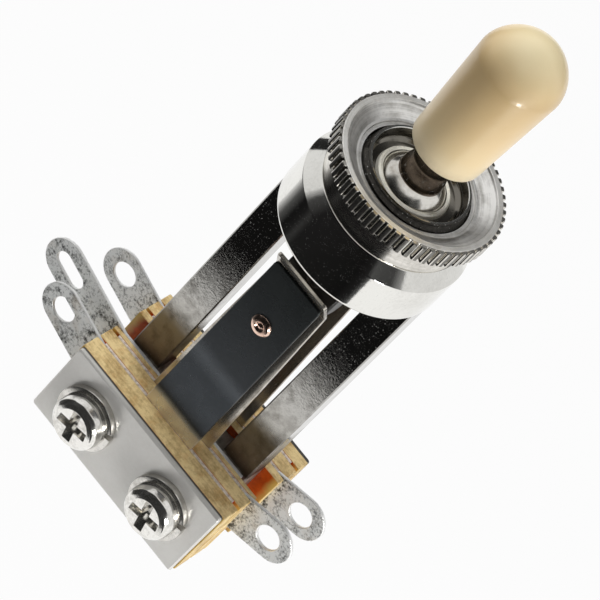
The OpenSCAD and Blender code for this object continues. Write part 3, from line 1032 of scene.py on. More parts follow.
@dataclass(frozen=True)
class Finishes:
    """Every finish of the switch, made once."""

    can: Finish
    nut: Finish
    tooth: Finish
    ring: Finish
    dish: Finish
    mouth: Finish
    bead: Finish
    seam: Finish
    ball: Finish
    neck: Finish
    tip: Finish
    roller: Finish
    pin: Finish
    bar: Finish
    plate: Finish
    board: Finish
    outer_blade: Finish
    inner_blade: Finish
    sheet_edge: Finish
    lug: Finish
    rivet: Finish
    paper: Finish
    washer: Finish
    screw: Finish

    @classmethod
    def mixed(cls) -> "Finishes":
        """Builds every material.

        Returns:
            Every finish of the switch.
        """
        recipes = {
            "can": PlatedSteel(
                "can_bright_nickel", tone(236, 235, 230), tone(206, 204, 198), 0.07,
                grain=0.003, patch=0.12, sparkle=0.35, scratches=0.12),
            "nut": PlatedSteel(
                "nut_nickel", tone(226, 223, 216), tone(170, 165, 156), 0.15,
                grain=0.003, lay=Lay.ROUND, sparkle=0.2),
            # Darker finish for the teeth's faces and trailing edges; on the trailing edges it is painted
            # shade.
            "tooth": PlatedSteel(
                "tooth_dark_face_shaded_edge", tone(128, 126, 121), tone(62, 60, 57), 0.3, grain=0.01, patch=0.6),
            "ring": PlatedSteel(
                "ring_knurled_edge", tone(250, 249, 245), tone(196, 193, 186), 0.3, metallic=0.68,
                grain=0.01, lay=Lay.TURNED, lines=1.0, sparkle=0.4),
            "dish": PlatedSteel(
                "dish_turned_nickel", tone(244, 243, 240), tone(160, 158, 153), 0.3, metallic=0.8,
                grain=0.012, lay=Lay.TURNED, lines=1.1),
            # Dark wall and floor inside the bushing's mouth: painted shade in the recess.
            "mouth": PlatedSteel(
                "mouth_wall_painted_shade", tone(122, 118, 110), tone(40, 37, 33), 0.14,
                lay=Lay.ROUND, grain=0.01, lines=0.9),
            # The near-white bead round the ball is a painted highlight: the bright crescent that the polished
            # lip reflects.
            "bead": PlatedSteel(
                "socket_bead_painted_highlight", tone(255, 252, 240), tone(232, 225, 206), 0.25, metallic=0.3,
                lay=Lay.ROUND, grain=0.004, lines=0.2),
            # Near-black thread, nut bore and bushing wall: painted shade in the gap under the nut, strewn
            # with painted glint specks.
            "seam": PlatedSteel(
                "thread_dark_painted_shade", tone(70, 67, 62), tone(10, 9, 8), 0.3, metallic=0.6,
                grain=0.1, patch=2.2, sparkle=1.8),
            "ball": PlatedSteel(
                "lever_nickel_bright", tone(232, 229, 222), tone(160, 152, 140), 0.16,
                grain=0.004, lay=Lay.ROUND, scratches=0.2),
            # The neck's dark tone is a painted reflection of the dark surroundings; its scratches are wear.
            "neck": PlatedSteel(
                "neck_painted_dark_reflection", tone(116, 104, 92), tone(36, 31, 27), 0.2,
                grain=0.012, scratches=0.9, sparkle=0.2),
            "tip": ivory(),
            "roller": MouldedPlastic("roller_phenolic", tone(34, 31, 28), tone(22, 20, 18), 0.35),
            "pin": PlatedSteel("pin_ground_steel", tone(190, 190, 188), tone(120, 118, 114), 0.25),
            "bar": barrelled_nickel(),
            # The dark line at the plate's back edge is a painted shadow against the board.
            "plate": PlatedSteel(
                "plate_satin_zinc", tone(236, 234, 229), tone(224, 221, 215), 0.32, metallic=0.4,
                grain=0.003, patch=0.12, seam=(-7.72, -7.6)),
            "board": LaminatedBoard(
                "spacer_resin_board", edge=tone(244, 218, 160), edge_dark=tone(156, 118, 64),
                face=tone(216, 92, 26), face_dark=tone(142, 46, 8), face_end=tone(232, 192, 100),
                resin=tone(206, 144, 66)),
            "outer_blade": blued_blade(),
            "inner_blade": PlatedSteel(
                "blade_bright_spring", tone(212, 206, 196), tone(150, 142, 130), 0.2, metallic=0.9,
                grain=0.005, lay=Lay.ALONG),
            "sheet_edge": PlatedSteel(
                "sheet_sheared_edge", tone(250, 236, 222), tone(112, 84, 66), 0.3, metallic=0.2,
                grain=0.01, patch=2.4),
            "lug": TinnedSheet(
                "lug_dull_tin", tone(236, 237, 235), tone(74, 75, 74), tone(206, 190, 168)),
            "rivet": PlatedSteel(
                "rivet_rose_copper", tone(248, 218, 200), tone(200, 150, 126), 0.14, grain=0.004),
            "paper": MouldedPlastic(
                "sleeve_varnished_paper", tone(176, 140, 92), tone(140, 104, 62), 0.6),
            "washer": PlatedSteel(
                "washer_bright_steel", tone(228, 225, 219), tone(150, 146, 138), 0.14, metallic=0.95,
                grain=0.01),
            "screw": PlatedSteel(
                "screw_bright_nickel", tone(244, 242, 237), tone(190, 186, 178), 0.12, metallic=0.95,
                grain=0.008, patch=0.6),
        }
        return cls(**{part: recipe.material() for part, recipe in recipes.items()})


# ---- what repeats ----


@dataclass
class GeometryTree:
    """One Geometry Nodes tree with named inputs, turned into a plain mesh."""

    name: str

    def __post_init__(self) -> None:
        """Starts the tree with its output."""
        self.group = bpy.data.node_groups.new(self.name, "GeometryNodeTree")
        self.group.interface.new_socket("Geometry", in_out="OUTPUT", socket_type="NodeSocketGeometry")
        self.entry = self.group.nodes.new("NodeGroupInput")
        self.exit = self.group.nodes.new("NodeGroupOutput")
        self.values: dict[str, Any] = {}

    def size(self, name: str, value: Any, kind: str = "NodeSocketFloat") -> bpy.types.NodeSocket:
        """Adds a named input and returns its socket in the tree.

        Args:
            name: The input's name.
            value: Its value.
            kind: The type of the input's socket.

        Returns:
            The socket.
        """
        made = self.group.interface.new_socket(name, in_out="INPUT", socket_type=kind)
        self.values[made.identifier] = value
        return self.entry.outputs[name]

    def step(
        self, kind: str, inputs: dict[Any, Any], settings: dict[str, Any] | None = None
    ) -> bpy.types.Node:
        """Adds one node with its settings and inputs.

        Args:
            kind: The node's type.
            inputs: Values or sockets for its inputs.
            settings: Its settings.

        Returns:
            The node.
        """
        node = self.group.nodes.new(kind)
        for key, value in (settings or {}).items():
            setattr(node, key, value)
        for key, value in inputs.items():
            if isinstance(value, bpy.types.NodeSocket):
                self.group.links.new(value, node.inputs[key])
            else:
                node.inputs[key].default_value = value
        return node

    def mesh(self, last: bpy.types.NodeSocket, finish: Finish | None, crease: float) -> bpy.types.Mesh:
        """Ends the tree, evaluates it and returns its mesh.

        Args:
            last: The socket that carries the made geometry.
            finish: The material to set, or none to keep those of the pattern.
            crease: Edges sharper than this many degrees stay crisp.

        Returns:
            A plain mesh.
        """
        real = self.step("GeometryNodeRealizeInstances", {0: last})
        if finish:
            real = self.step("GeometryNodeSetMaterial", {0: real.outputs[0], "Material": finish})
        self.group.links.new(real.outputs[0], self.exit.inputs[0])
        holder = bpy.data.objects.new(self.name, bpy.data.meshes.new(self.name))
        bpy.context.scene.collection.objects.link(holder)
        modifier = holder.modifiers.new(self.name, "NODES")
        modifier.node_group = self.group
        for identifier, value in self.values.items():
            modifier[identifier] = value
        graph = bpy.context.evaluated_depsgraph_get()
        mesh = bpy.data.meshes.new_from_object(holder.evaluated_get(graph), depsgraph=graph)
        holder.modifiers.remove(modifier)
        bpy.data.objects.remove(holder)
        for face in mesh.polygons:
            face.use_smooth = True
        mesh.set_sharp_from_angle(angle=math.radians(crease))
        return mesh


def as_piece(name: str, mesh: bpy.types.Mesh) -> Piece:
    """Makes a linked object from a mesh, with its normals outward.

    Args:
        name: The name of the object.
        mesh: Its mesh, in metres.

    Returns:
        The object.
    """
    bm = bmesh.new()
    bm.from_mesh(mesh)
    bmesh.ops.remove_doubles(bm, verts=bm.verts, dist=1e-7)
    bmesh.ops.recalc_face_normals(bm, faces=bm.faces)
    bm.to_mesh(mesh)
    bm.free()
    mesh.name = name
    piece = bpy.data.objects.new(name, mesh)
    bpy.context.scene.collection.objects.link(piece)
    return piece


THREAD_STEPS = 48
THREAD_SIDES = 4
THREAD_CREASE = 40.0


def pin_profile(radius: float, length: float, edge: float, steps: int) -> Loop:
    """Returns the profile of a plain pin with rounded ends.

    Args:
        radius: Its radius.
        length: Its length.
        edge: The rounding at each end.
        steps: How many short sides make a rounding.

    Returns:
        The profile, from the middle of one end to the middle of the other.
    """
    corners = [(0, 0), (radius, 0), (radius, length), (0, length)]
    return eased(corners, [0, edge, edge, 0], steps, False)


def crosswise(length: float, height: float) -> Matrix:
    """Returns the matrix that lays a pin of a length along X, with its middle at a height."""
    return Matrix.Translation((-length / 2, 0, height)) @ Matrix.Rotation(math.pi / 2, 4, "Y")


def thread(
    name: str, root: float, pitch: float, depth: float, low: float, high: float, finish: Finish
) -> Piece:
    """Winds a screw thread from low to high, in millimetres.

    Args:
        name: The piece's name.
        root: Radius of the thread's root.
        pitch: Rise of one turn.
        depth: Height of the ridge.
        low: Where the thread starts.
        high: Where it ends.
        finish: Its material.

    Returns:
        The thread as an object.
    """
    tree = GeometryTree(name)
    turns = (high - low) / pitch
    spiral = tree.step("GeometryNodeCurveSpiral", {
        "Resolution": tree.size("Steps", THREAD_STEPS, "NodeSocketInt"),
        "Rotations": tree.size("Turns", turns),
        "Start Radius": tree.size("Root", root * MM),
        "End Radius": tree.size("End", root * MM),
        "Height": tree.size("Rise", (high - low) * MM),
        "Reverse": False})
    up = tree.step("GeometryNodeSetCurveNormal", {0: spiral.outputs[0]}, {"mode": "Z_UP"})
    size = tree.size("Depth", depth * MM)
    ridge = tree.step("GeometryNodeCurvePrimitiveCircle", {"Resolution": THREAD_SIDES, "Radius": size})
    swept = tree.step("GeometryNodeCurveToMesh", {0: up.outputs[0], 1: ridge.outputs[0], "Fill Caps": True})
    moved = tree.step("GeometryNodeTransform", {0: swept.outputs[0], "Translation": (0.0, 0.0, low * MM)})
    return as_piece(name, tree.mesh(moved.outputs[0], finish, THREAD_CREASE))


# ---- sub-assemblies, with sizes in millimetres ----


@dataclass
class Housing:
    """The can behind the panel and its threaded bushing."""

    can_r: float = 9.3
    can_h: float = 6.25
    shoulder_r: float = 8.0
    bevel_h: float = 1.4
    thread_r: float = 5.95
    pitch: float = 0.794
    bushing_h: float = 4.5
    mouth_r: float = 5.3
    lip_z: float = 3.4
    socket_r: float = 4.38
    bead_r: float = 4.02
    throat_r: float = 4.63
    throat_top: float = 0.3
    pivot_z: float = 0.8
    pin_r: float = 0.8
    pin_len: float = 11.2
    pin_edge: float = 0.15
    seat_drop: float = 0.45
    thread_gap: float = 0.5

    def socket(self, steps: int = 10) -> Loop:
        """Returns the profile of the ball's seat, from its lip down to the throat.

        Args:
            steps: How many short sides it has.

        Returns:
            The profile.
        """
        top = math.asin((self.lip_z - self.pivot_z) / self.socket_r)
        low = -math.asin((self.pivot_z - self.throat_top) / self.socket_r)
        return [
            (self.socket_r * math.cos(top + (low - top) * k / steps),
             self.pivot_z + self.socket_r * math.sin(top + (low - top) * k / steps))
            for k in range(steps + 1)
        ]

    def build(self, finishes: Finishes) -> None:
        """Makes the can, the thread and the pin.

        Args:
            finishes: The switch's finishes.
        """
        root = self.thread_r - self.pitch / 2
        top, mouth, bead, seat = self.bushing_h, self.mouth_r, self.bead_r, self.lip_z - self.seat_drop
        corners = [
            ((self.throat_r, -self.can_h), 0),
            ((self.can_r, -self.can_h), 0.35),
            ((self.can_r, -self.bevel_h), 0.16),
            ((self.shoulder_r, 0.0), 0.2),
            ((root, 0.0), 0),
            ((root, top - 0.3), 0),
            ((root + 0.12, top - 0.12), 0.08),
            ((root + 0.02, top), 0.08),
            ((mouth, top), 0.08),
            ((mouth - 0.12, seat + 0.35), 0.3),
            ((mouth - 0.5, seat), 0.2),
            ((bead + 0.1, seat - 0.1), 0.1),
            ((bead - 0.04, seat + 0.4), 0.1),
            ((bead - 0.22, self.lip_z + 0.1), 0.12),
        ]
        wall = rounded(corners, 4, False, True)
        can = Mould("housing_can").lathe([*wall, *self.socket(), (self.throat_r, self.throat_top)], 128)
        piece = can.cast([finishes.can, finishes.mouth, finishes.bead, finishes.seam], 30, self.zone)
        settle(piece, "switch", ["housing"])
        depth, gap = self.pitch / 2 - 0.02, self.thread_gap
        ridge = thread("housing_thread", root, self.pitch, depth, gap, top - gap, finishes.seam)
        settle(ridge, "switch")
        profile = pin_profile(self.pin_r, self.pin_len, self.pin_edge, 2)
        across = crosswise(self.pin_len, self.pivot_z)
        pin = Mould("pivot_pin_ground").lathe(profile, 32, False, across).cast([finishes.pin])
        settle(pin, "switch", ["pivot_pin"])

    def zone(self, centre: Vector) -> int:
        """Picks the finish: plating, the mouth's wall in painted shade, the pale bead round the ball as a
        painted highlight, or the thread in painted shade.

        Args:
            centre: The middle of a face, in millimetres.

        Returns:
            The number of the finish.
        """
        radius = math.hypot(centre.x, centre.y)
        if centre.z < 0.1:
            return 0
        if radius > self.mouth_r - 0.02:
            return 0 if radius < self.mouth_r + 0.16 else 3
        return 2 if radius < self.bead_r + 0.08 and centre.z > self.lip_z - 0.5 else 1


@dataclass
class DressNut:
    """The round dress nut with its collar, toothed rim and turned face."""

    bore_r: float = 6.0
    collar_r: float = 8.0
    collar_h: float = 2.85
    rim_r: float = 9.21
    rim_h: float = 2.1
    teeth: int = 60
    tooth_depth: float = 0.34
    tooth_share: float = 0.66
    dish_r: float = 8.25
    dish_depth: float = 1.0
    lip_w: float = 0.45
    lip_h: float = 0.25
    tooth_root: float = 0.15
    tooth_crease: float = 24.0

    def tooth(self, finishes: Finishes) -> Piece:
        """Makes one tooth, lying along X from the rim's root, with a darker face, a trailing edge darkened as
        painted shade, and a bright leading edge.

        Args:
            finishes: The switch's finishes.

        Returns:
            The tooth, as a pattern to repeat.
        """
        half = math.pi * self.rim_r / self.teeth * self.tooth_share
        deep = self.tooth_depth / 2 + self.tooth_root
        wide = half * 1.12
        level = self.rim_h / 2 - 0.02
        edge = eased([(-deep, -wide), (deep, -half), (deep, half), (-deep, wide)], [0, 0.27, 0.14, 0], 5)
        mould = Mould("tooth_pattern").prism(Region([edge], []), -level, level, 0.07, Matrix())

        def dull(centre: Vector) -> int:
            """Tells the outward face and the trailing edge from the rest."""
            # The trailing edge is darkened as painted shade; the leading edge stays bright.
            return int(centre.x > deep - 0.04 and centre.y > -0.06)

        return mould.cast([finishes.nut, finishes.tooth], self.tooth_crease, dull)

    def build(self, finishes: Finishes) -> None:
        """Makes the turned body and its ring of teeth.

        Args:
            finishes: The switch's finishes.
        """
        top = self.collar_h + self.rim_h
        floor = top - self.dish_depth
        root = self.rim_r - self.tooth_depth
        lip = self.bore_r + self.lip_w
        corners = [
            ((self.bore_r, 0), 0.15),
            ((self.collar_r, 0), 0.2),
            ((self.collar_r, self.collar_h), 0.12),
            ((root, self.collar_h), 0.08),
            ((root, top), 0.12),
            ((self.dish_r, top), 0.07),
            ((self.dish_r - 0.12, top - 0.2), 0.06),
            ((lip + 0.3, floor), 0.15),
            ((lip, floor), 0.05),
            ((lip, floor - self.lip_h), 0.05),
            ((self.bore_r, floor - self.lip_h), 0.06),
        ]
        profile = rounded(corners, 3, True, True)
        body = Mould("dress_nut_turned").lathe(profile, 128)
        piece = body.cast([finishes.nut, finishes.dish, finishes.ring, finishes.seam], 30, self.zone)
        settle(piece, "switch", ["dress_nut"])
        pattern = self.tooth(finishes)
        tree = GeometryTree("dress_nut_teeth")
        circle = tree.step("GeometryNodeMeshCircle", {
            "Vertices": tree.size("Teeth", self.teeth, "NodeSocketInt"),
            "Radius": tree.size("Root", (root + self.tooth_depth / 2 - self.tooth_root) * MM)})
        spot = tree.step("GeometryNodeInputPosition", {})
        outward = {"axis": "X", "pivot_axis": "Z"}
        aim = tree.step("FunctionNodeAlignRotationToVector", {"Vector": spot.outputs[0]}, outward)
        model = tree.size("Tooth", pattern, "NodeSocketObject")
        source = tree.step("GeometryNodeObjectInfo", {"Object": model})
        placed = tree.step("GeometryNodeInstanceOnPoints", {
            "Points": circle.outputs[0], "Instance": source.outputs["Geometry"], "Rotation": aim.outputs[0]})
        lifted = tree.step("GeometryNodeTransform", {
            0: placed.outputs[0], "Translation": (0.0, 0.0, (self.collar_h + self.rim_h / 2) * MM)})
        mesh = tree.mesh(lifted.outputs[0], None, self.tooth_crease)
        bpy.data.objects.remove(pattern)
        settle(as_piece("dress_nut_teeth", mesh), "switch")

    def zone(self, centre: Vector) -> int:
        """Picks the finish: plating, the turned dish, the rim's top ring, or the thread at the bore in
        painted shade.

        Args:
            centre: The middle of a face, in millimetres.

        Returns:
            The number of the finish.
        """
        radius = math.hypot(centre.x, centre.y)
        top = self.collar_h + self.rim_h
        if centre.z > top - 0.02 and radius > self.dish_r - 0.02:
            return 2
        if radius >= self.dish_r or centre.z < top - self.dish_depth - self.lip_h - 0.1:
            return 0
        return 3 if radius < self.bore_r + 0.06 and centre.z < top - self.dish_depth - 0.03 else 1


@dataclass
class Lever:
    """What tilts: the ball and its neck, the ivory tip, and the roller at the foot."""

    ball_r: float = 4.3
    pivot_z: float = 0.8
    neck_r: float = 2.0
    flare_r: float = 2.45
    shank_r: float = 1.5
    stud_r: float = 1.7
    stud_top: float = 17.7
    roller_r: float = 2.1
    roller_len: float = 6.3
    roller_edge: float = 0.35
    roller_z: float = -13.3
    hub_r: float = 2.2
    hub_h: float = 3.6
    tip_z: float = 8.7
    tip_base_r: float = 3.88
    tip_top_r: float = 4.55
    tip_cone_h: float = 12.4
    tip_dome_h: float = 4.3
    tip_edge_r: float = 0.5
    tip_roundness: float = 1.8
    socket_depth: float = 0.6

    def stem(self) -> Loop:
        """Returns the profile from the foot, round the ball, up to the stud's end.

        Returns:
            The profile.
        """
        foot = math.acos(self.shank_r / self.ball_r)
        neck = math.acos((self.flare_r - 0.25) / self.ball_r)
        arc = [(self.ball_r * math.cos(a), self.pivot_z + self.ball_r * math.sin(a))
               for a in (-foot + (foot + neck) * k / 40 for k in range(41))]
        start = self.pivot_z + math.sqrt(self.ball_r ** 2 - self.flare_r ** 2) - 0.1
        shoulder = self.tip_z + self.socket_depth
        corners = [
            (arc[-1], 0),
            ((self.flare_r - 0.25, start + 0.15), 0.1),
            ((self.flare_r, start + 0.45), 0.25),
            ((self.flare_r - 0.1, start + 0.9), 0.6),
            ((self.neck_r, start + 2.2), 1.2),
            ((self.neck_r, shoulder), 0.05),
            ((self.stud_r, shoulder), 0.05),
            ((self.stud_r, self.stud_top), 0.2),
            ((0, self.stud_top), 0),
        ]
        neck_path = rounded(corners, 4, False, True)
        return [(0, self.roller_z), (self.shank_r, self.roller_z), *arc, *neck_path[1:]]

    def tip_profile(self) -> Loop:
        """Returns the outer profile of the tip, from its lower face to the top of its dome.

        Returns:
            The profile, which starts in the socket for the stud.
        """
        base, foot, edge_r = self.tip_base_r, self.tip_z, self.tip_edge_r
        edge = [(base - edge_r * (1 - math.sin(a)), foot + edge_r * (1 - math.cos(a)))
                for a in (math.pi / 2 * k / 6 for k in range(7))]
        share = 2 / self.tip_roundness
        top = foot + self.tip_cone_h
        dome = [(self.tip_top_r * math.cos(a) ** share, top + self.tip_dome_h * math.sin(a) ** share)
                for a in (math.pi / 2 * k / 32 for k in range(33))]
        dome[-1] = (0.0, dome[-1][1])
        side = [(base + (self.tip_top_r - base) * k / 6, foot + edge_r + (self.tip_cone_h - edge_r) * k / 6)
                for k in range(1, 6)]
        bore_r, bore_top = self.neck_r + 0.01, foot + self.socket_depth
        return [(0.0, bore_top), (bore_r, bore_top), (bore_r, foot), *edge, *side, *dome]

    def build(self, finishes: Finishes) -> None:
        """Makes the three parts of the lever.

        Args:
            finishes: The switch's finishes.
        """
        neck_z = self.pivot_z + math.sqrt(self.ball_r ** 2 - self.flare_r ** 2)
        stem = Mould("lever_stem").lathe(self.stem(), 96, False).cast(
            [finishes.ball, finishes.neck], 40, lambda c: int(c.z > neck_z))
        settle(stem, "lever", ["lever"])
        tip = Mould("tip_moulded").lathe(self.tip_profile(), 128, False).cast([finishes.tip], 40)
        settle(tip, "lever", ["tip"])
        barrel = pin_profile(self.roller_r, self.roller_len, self.roller_edge, 4)
        corners = [(0, 0), (self.hub_r, 0), (self.hub_r, self.hub_h), (self.shank_r, self.hub_h)]
        hub = eased(corners, [0, 0.35, 0.25, 0], 3, False)
        roller = Mould("cam_roller").lathe(barrel, 64, False, crosswise(self.roller_len, self.roller_z))
        roller.lathe([*hub, (0, self.hub_h)], 64, False, Matrix.Translation((0, 0, self.roller_z)))
        settle(roller.cast([finishes.roller], 40), "lever", ["cam"])


@dataclass
class Stack:
    """Levels and outlines that every layer of the leaf stack shares."""

    top: float = -37.1
    height: float = 10.2
    spacer_w: float = 22.4
    plate_w: float = 22.08
    leaf_half: float = 10.15
    frame_y: float = 1.6
    ground_y: float = 2.0
    inner_y: float = 2.57
    middle_y: float = 2.97
    outer_y: float = 4.72
    cover_y: float = 5.12
    front_plate_y: float = 7.4
    front_face_y: float = 8.2
    rear_plate_y: float = 6.75
    rear_face_y: float = 8.25
    screw_x: float = 5.75
    hole_r: float = 2.25
    screw_hole_r: float = 1.5
    tapped_hole_r: float = 1.4
    rear_drop: float = 1.0
    sleeve_bore: float = 1.5
    sleeve_r: float = 2.2
    plate_corner: float = 0.35
    board_corner: float = 0.18

    @property
    def bottom(self) -> float:
        """Height of the stack's lower edge."""
        return self.top - self.height

    @property
    def screw_z(self) -> float:
        """Height of the screws."""
        return self.top - self.height / 2

    def holes(self, radius: float) -> list[Loop]:
        """Returns the two screw holes."""
        return [ring(side * self.screw_x, self.screw_z, radius, 36) for side in (-1, 1)]

    def layer(self, x0: float, x1: float, corner: float = 0.0, drop: float = 0.0) -> Loop:
        """Returns the outline of one layer.

        Args:
            x0: Its left end.
            x1: Its right end.
            corner: The rounding of its corners.
            drop: How far its upper edge lies below the top of the stack.

        Returns:
            The outline.
        """
        loop = box_loop(x0, x1, self.bottom, self.top - drop)
        return eased(loop, corner, 4) if corner else loop

    def build(self, finishes: Finishes) -> None:
        """Makes the plates, the spacers and the sleeves.

        Args:
            finishes: The switch's finishes.
        """
        half = self.plate_w / 2
        front = Region([self.layer(-half, half, self.plate_corner)], self.holes(self.screw_hole_r))
        plate = Mould("front_plate_satin").prism(front, self.front_plate_y, self.front_face_y, (0.03, 0.15))
        settle(plate.cast([finishes.plate], 30), "switch", ["front_plate"])
        outline = self.layer(-half, half, self.plate_corner, self.rear_drop)
        rear = Region([outline], self.holes(self.tapped_hole_r))
        plate = Mould("rear_plate_tapped").prism(rear, -self.rear_face_y, -self.rear_plate_y, (0.15, 0.03))
        settle(plate.cast([finishes.plate], 30), "switch", ["rear_plate"])
        outline = self.layer(-self.spacer_w / 2, self.spacer_w / 2, self.board_corner)
        board = Region([outline], self.holes(self.hole_r))
        levels = {
            "spacer_front_outer": (self.cover_y, self.front_plate_y),
            "spacer_front_middle": (self.middle_y, self.outer_y),
            "spacer_front_inner": (self.ground_y, self.inner_y),
            "spacer_rear_inner": (-self.inner_y, -self.frame_y),
            "spacer_rear_middle": (-self.outer_y, -self.middle_y),
            "spacer_rear_outer": (-self.rear_plate_y, -self.cover_y),
        }
        for node, (low, high) in levels.items():
            piece = Mould(f"{node}_board").prism(board, low, high, 0.05).cast([finishes.board], 30)
            settle(piece, "switch", [node])
        for name, side in (("left", -1), ("right", 1)):
            stand = Matrix.Translation((side * self.screw_x, 0, self.screw_z)) @ FRONT
            tube = box_loop(self.sleeve_bore, self.sleeve_r, -self.rear_plate_y, self.front_plate_y)
            sleeve = Mould(f"sleeve_{name}_paper").lathe(tube, 48, True, stand).cast([finishes.paper])
            settle(sleeve, "switch", [f"sleeve_{name}"])


@dataclass
class SolderLug:
    """The slanting solder lug that grows out of a leaf's side."""

    width: float = 5.1
    slant: float = 14.5
    reach: float = 15.65
    drop: float = 1.45
    end_reach: float = 0.4
    hole: float = 1.4
    slot: float = 0.0

    def loops(self, stack: Stack, side: int) -> tuple[Loop, Loop]:
        """Returns the lug's outline and its wire hole.

        Args:
            stack: The stack that the lug leaves.
            side: -1 for a lug to the left, 1 for one to the right.

        Returns:
            The outline and the hole.
        """
        eye = (side * self.reach, stack.top - self.drop)
        turn = side * self.slant
        shift = math.radians(self.slant)
        tip = (eye[0] + side * self.end_reach * math.cos(shift), eye[1] + self.end_reach * math.sin(shift))
        run = abs(tip[0]) - stack.leaf_half + self.width
        half = self.width / 2
        arc = [(side * half * math.cos(a), half * math.sin(a))
               for a in (math.pi * (k / 24 - 0.5) for k in range(25))]
        strip = [*arc, (-side * run, half), (-side * run, -half)]
        flat = (self.slot - 2 * self.hole) / 2 if self.slot else 0.0
        eyelet = [(flat * (1 if math.cos(a) > 0 else -1) + self.hole * math.cos(a), self.hole * math.sin(a))
                  for a in (math.tau * (k + 0.5) / 40 for k in range(40))]
        return turned(strip, tip, turn), turned(eyelet, eye, turn)


@dataclass
class Leaf:
    """A spring leaf: its clamped sheet, its lug and its blade, drawn flat and then bent."""

    node: str
    level: float
    root_w: float
    top_w: float
    path: Loop
    lug: SolderLug
    side: int
    rear: bool
    thickness: float = 0.4
    bend_r: float = 0.6
    corner_r: float = 0.5
    chamfer: float = 0.07
    slice_run: float = 0.8
    lug_start: float = 9.6

    def spine(self) -> list[Vector]:
        """Returns the blade's middle line as [outward, up] points, with its bend rounded."""
        return [Vector(p) for p in eased(self.path, self.bend_r, 6, closed=False)]

    def bent(self, place: Vector, stack: Stack) -> Vector:
        """Returns where a point of the flat leaf comes to lie once the blade is bent.

        Args:
            place: The point, in millimetres.
            stack: The stack that clamps the leaf.

        Returns:
            The new place.
        """
        if place.z <= stack.top:
            return place
        outward = -place.y - self.level - self.thickness / 2
        left = place.z - stack.top
        spine = self.spine()
        for a, b in zip(spine, spine[1:]):
            run = (b - a).length
            if left <= run or b is spine[-1]:
                way = (b - a) / run
                spot = a + way * left + Vector((way.y, -way.x)) * outward
                return Vector((place.x, -spot.x, spot.y))
            left -= run
        return place

    def build(self, stack: Stack, finishes: Finishes, blade: Finish) -> Piece:
        """Makes the leaf.

        Args:
            stack: The stack that clamps it.
            finishes: The switch's finishes.
            blade: The finish of the blade.

        Returns:
            The leaf, not yet on a body.
        """
        spine = self.spine()
        length = sum((b - a).length for a, b in zip(spine, spine[1:]))
        top = stack.top + length
        outline, hole = self.lug.loops(stack, self.side)
        root, tip, corner = self.root_w / 2, self.top_w / 2, self.corner_r
        blade_loop = eased(
            [(-root, stack.top - 1), (root, stack.top - 1), (root, stack.top),
             (tip, top), (-tip, top), (-root, stack.top)], [0, 0, 0, corner, corner, 0], 4)
        clamped = stack.layer(-stack.leaf_half, stack.leaf_half)
        sheet = Region([clamped, outline, blade_loop], [*stack.holes(stack.hole_r), hole])
        mould = Mould(f"{self.node}_spring")
        mould.prism(sheet, self.level, self.level + self.thickness, self.chamfer)
        levels, run = [stack.top + 0.001], 0.0
        for a, b in zip(spine, spine[1:]):
            parts = max(1, round((b - a).length / self.slice_run))
            levels += [stack.top + run + (b - a).length * k / parts for k in range(parts)]
            run += (b - a).length
        mould.slice_levels(sorted(set(levels)))
        mould.reshape(lambda p: self.bent(p, stack))
        if self.rear:
            mould.reshape(lambda p: Vector((p.x, -p.y, p.z)))
        return mould.cast([blade, finishes.lug, finishes.sheet_edge], CRISP, lambda c: self.zone(c, stack))

    def zone(self, centre: Vector, stack: Stack) -> int:
        """Picks the finish: the blade's, the tinned lug's, or that of the sheared edge in the stack.

        Args:
            centre: The middle of a face, in millimetres.
            stack: The stack that clamps the leaf.

        Returns:
            The number of the finish.
        """
        if abs(centre.x) > self.lug_start:
            return 1
        return 2 if abs(centre.x) > self.root_w / 2 + 0.02 or centre.z < stack.top - 0.02 else 0


@dataclass
class Contact:
    """A contact rivet: a dimpled head outside, a domed button between the leaves."""

    node: str
    foot_y: float
    button: int
    rear: bool
    head_r: float = 1.2
    rise: float = 18.6018
    lean: float = 0.8
    sheet: float = 0.2
    button_h: float = 0.55

    def build(self, stack: Stack, finish: Finish) -> Piece:
        """Makes the rivet on its blade.

        Args:
            stack: The stack that carries the blade.
            finish: The rivet's finish.

        Returns:
            The rivet, not yet on a body.
        """
        f, r, h = self.sheet, self.head_r, self.button_h
        sunk = 0.02
        corners = [
            ((0, -f - 0.3), 0),
            ((r * 0.16, -f - 0.28), 0.08),
            ((r * 0.3, -f - 0.14), 0.06),
            ((r * 0.46, -f - 0.35), 0.08),
            ((r * 0.82, -f - 0.32), 0.15),
            ((r, -f - 0.1), 0.06),
            ((r, -f + sunk), 0),
            ((r * 0.6, -f + sunk), 0),
            ((r * 0.6, f - sunk), 0),
            ((r, f - sunk), 0),
            ((r, f + h * 0.5), 0.1),
            ((r * 0.7, f + h * 0.9), 0.3),
            ((0, f + h), 0),
        ]
        profile = rounded(corners, 3, False)
        tilt = Matrix.Rotation(math.radians(self.lean), 4, "X")
        turn = Matrix.Rotation(self.button * math.pi / 2, 4, "X")
        foot = Matrix.Translation((0, -self.foot_y, stack.top))
        place = foot @ tilt @ Matrix.Translation((0, 0, self.rise)) @ turn
        mould = Mould(f"{self.node}_rivet").lathe(profile, 40, False, place)
        if self.rear:
            mould.reshape(lambda p: Vector((p.x, -p.y, p.z)))
        return mould.cast([finish], 36)


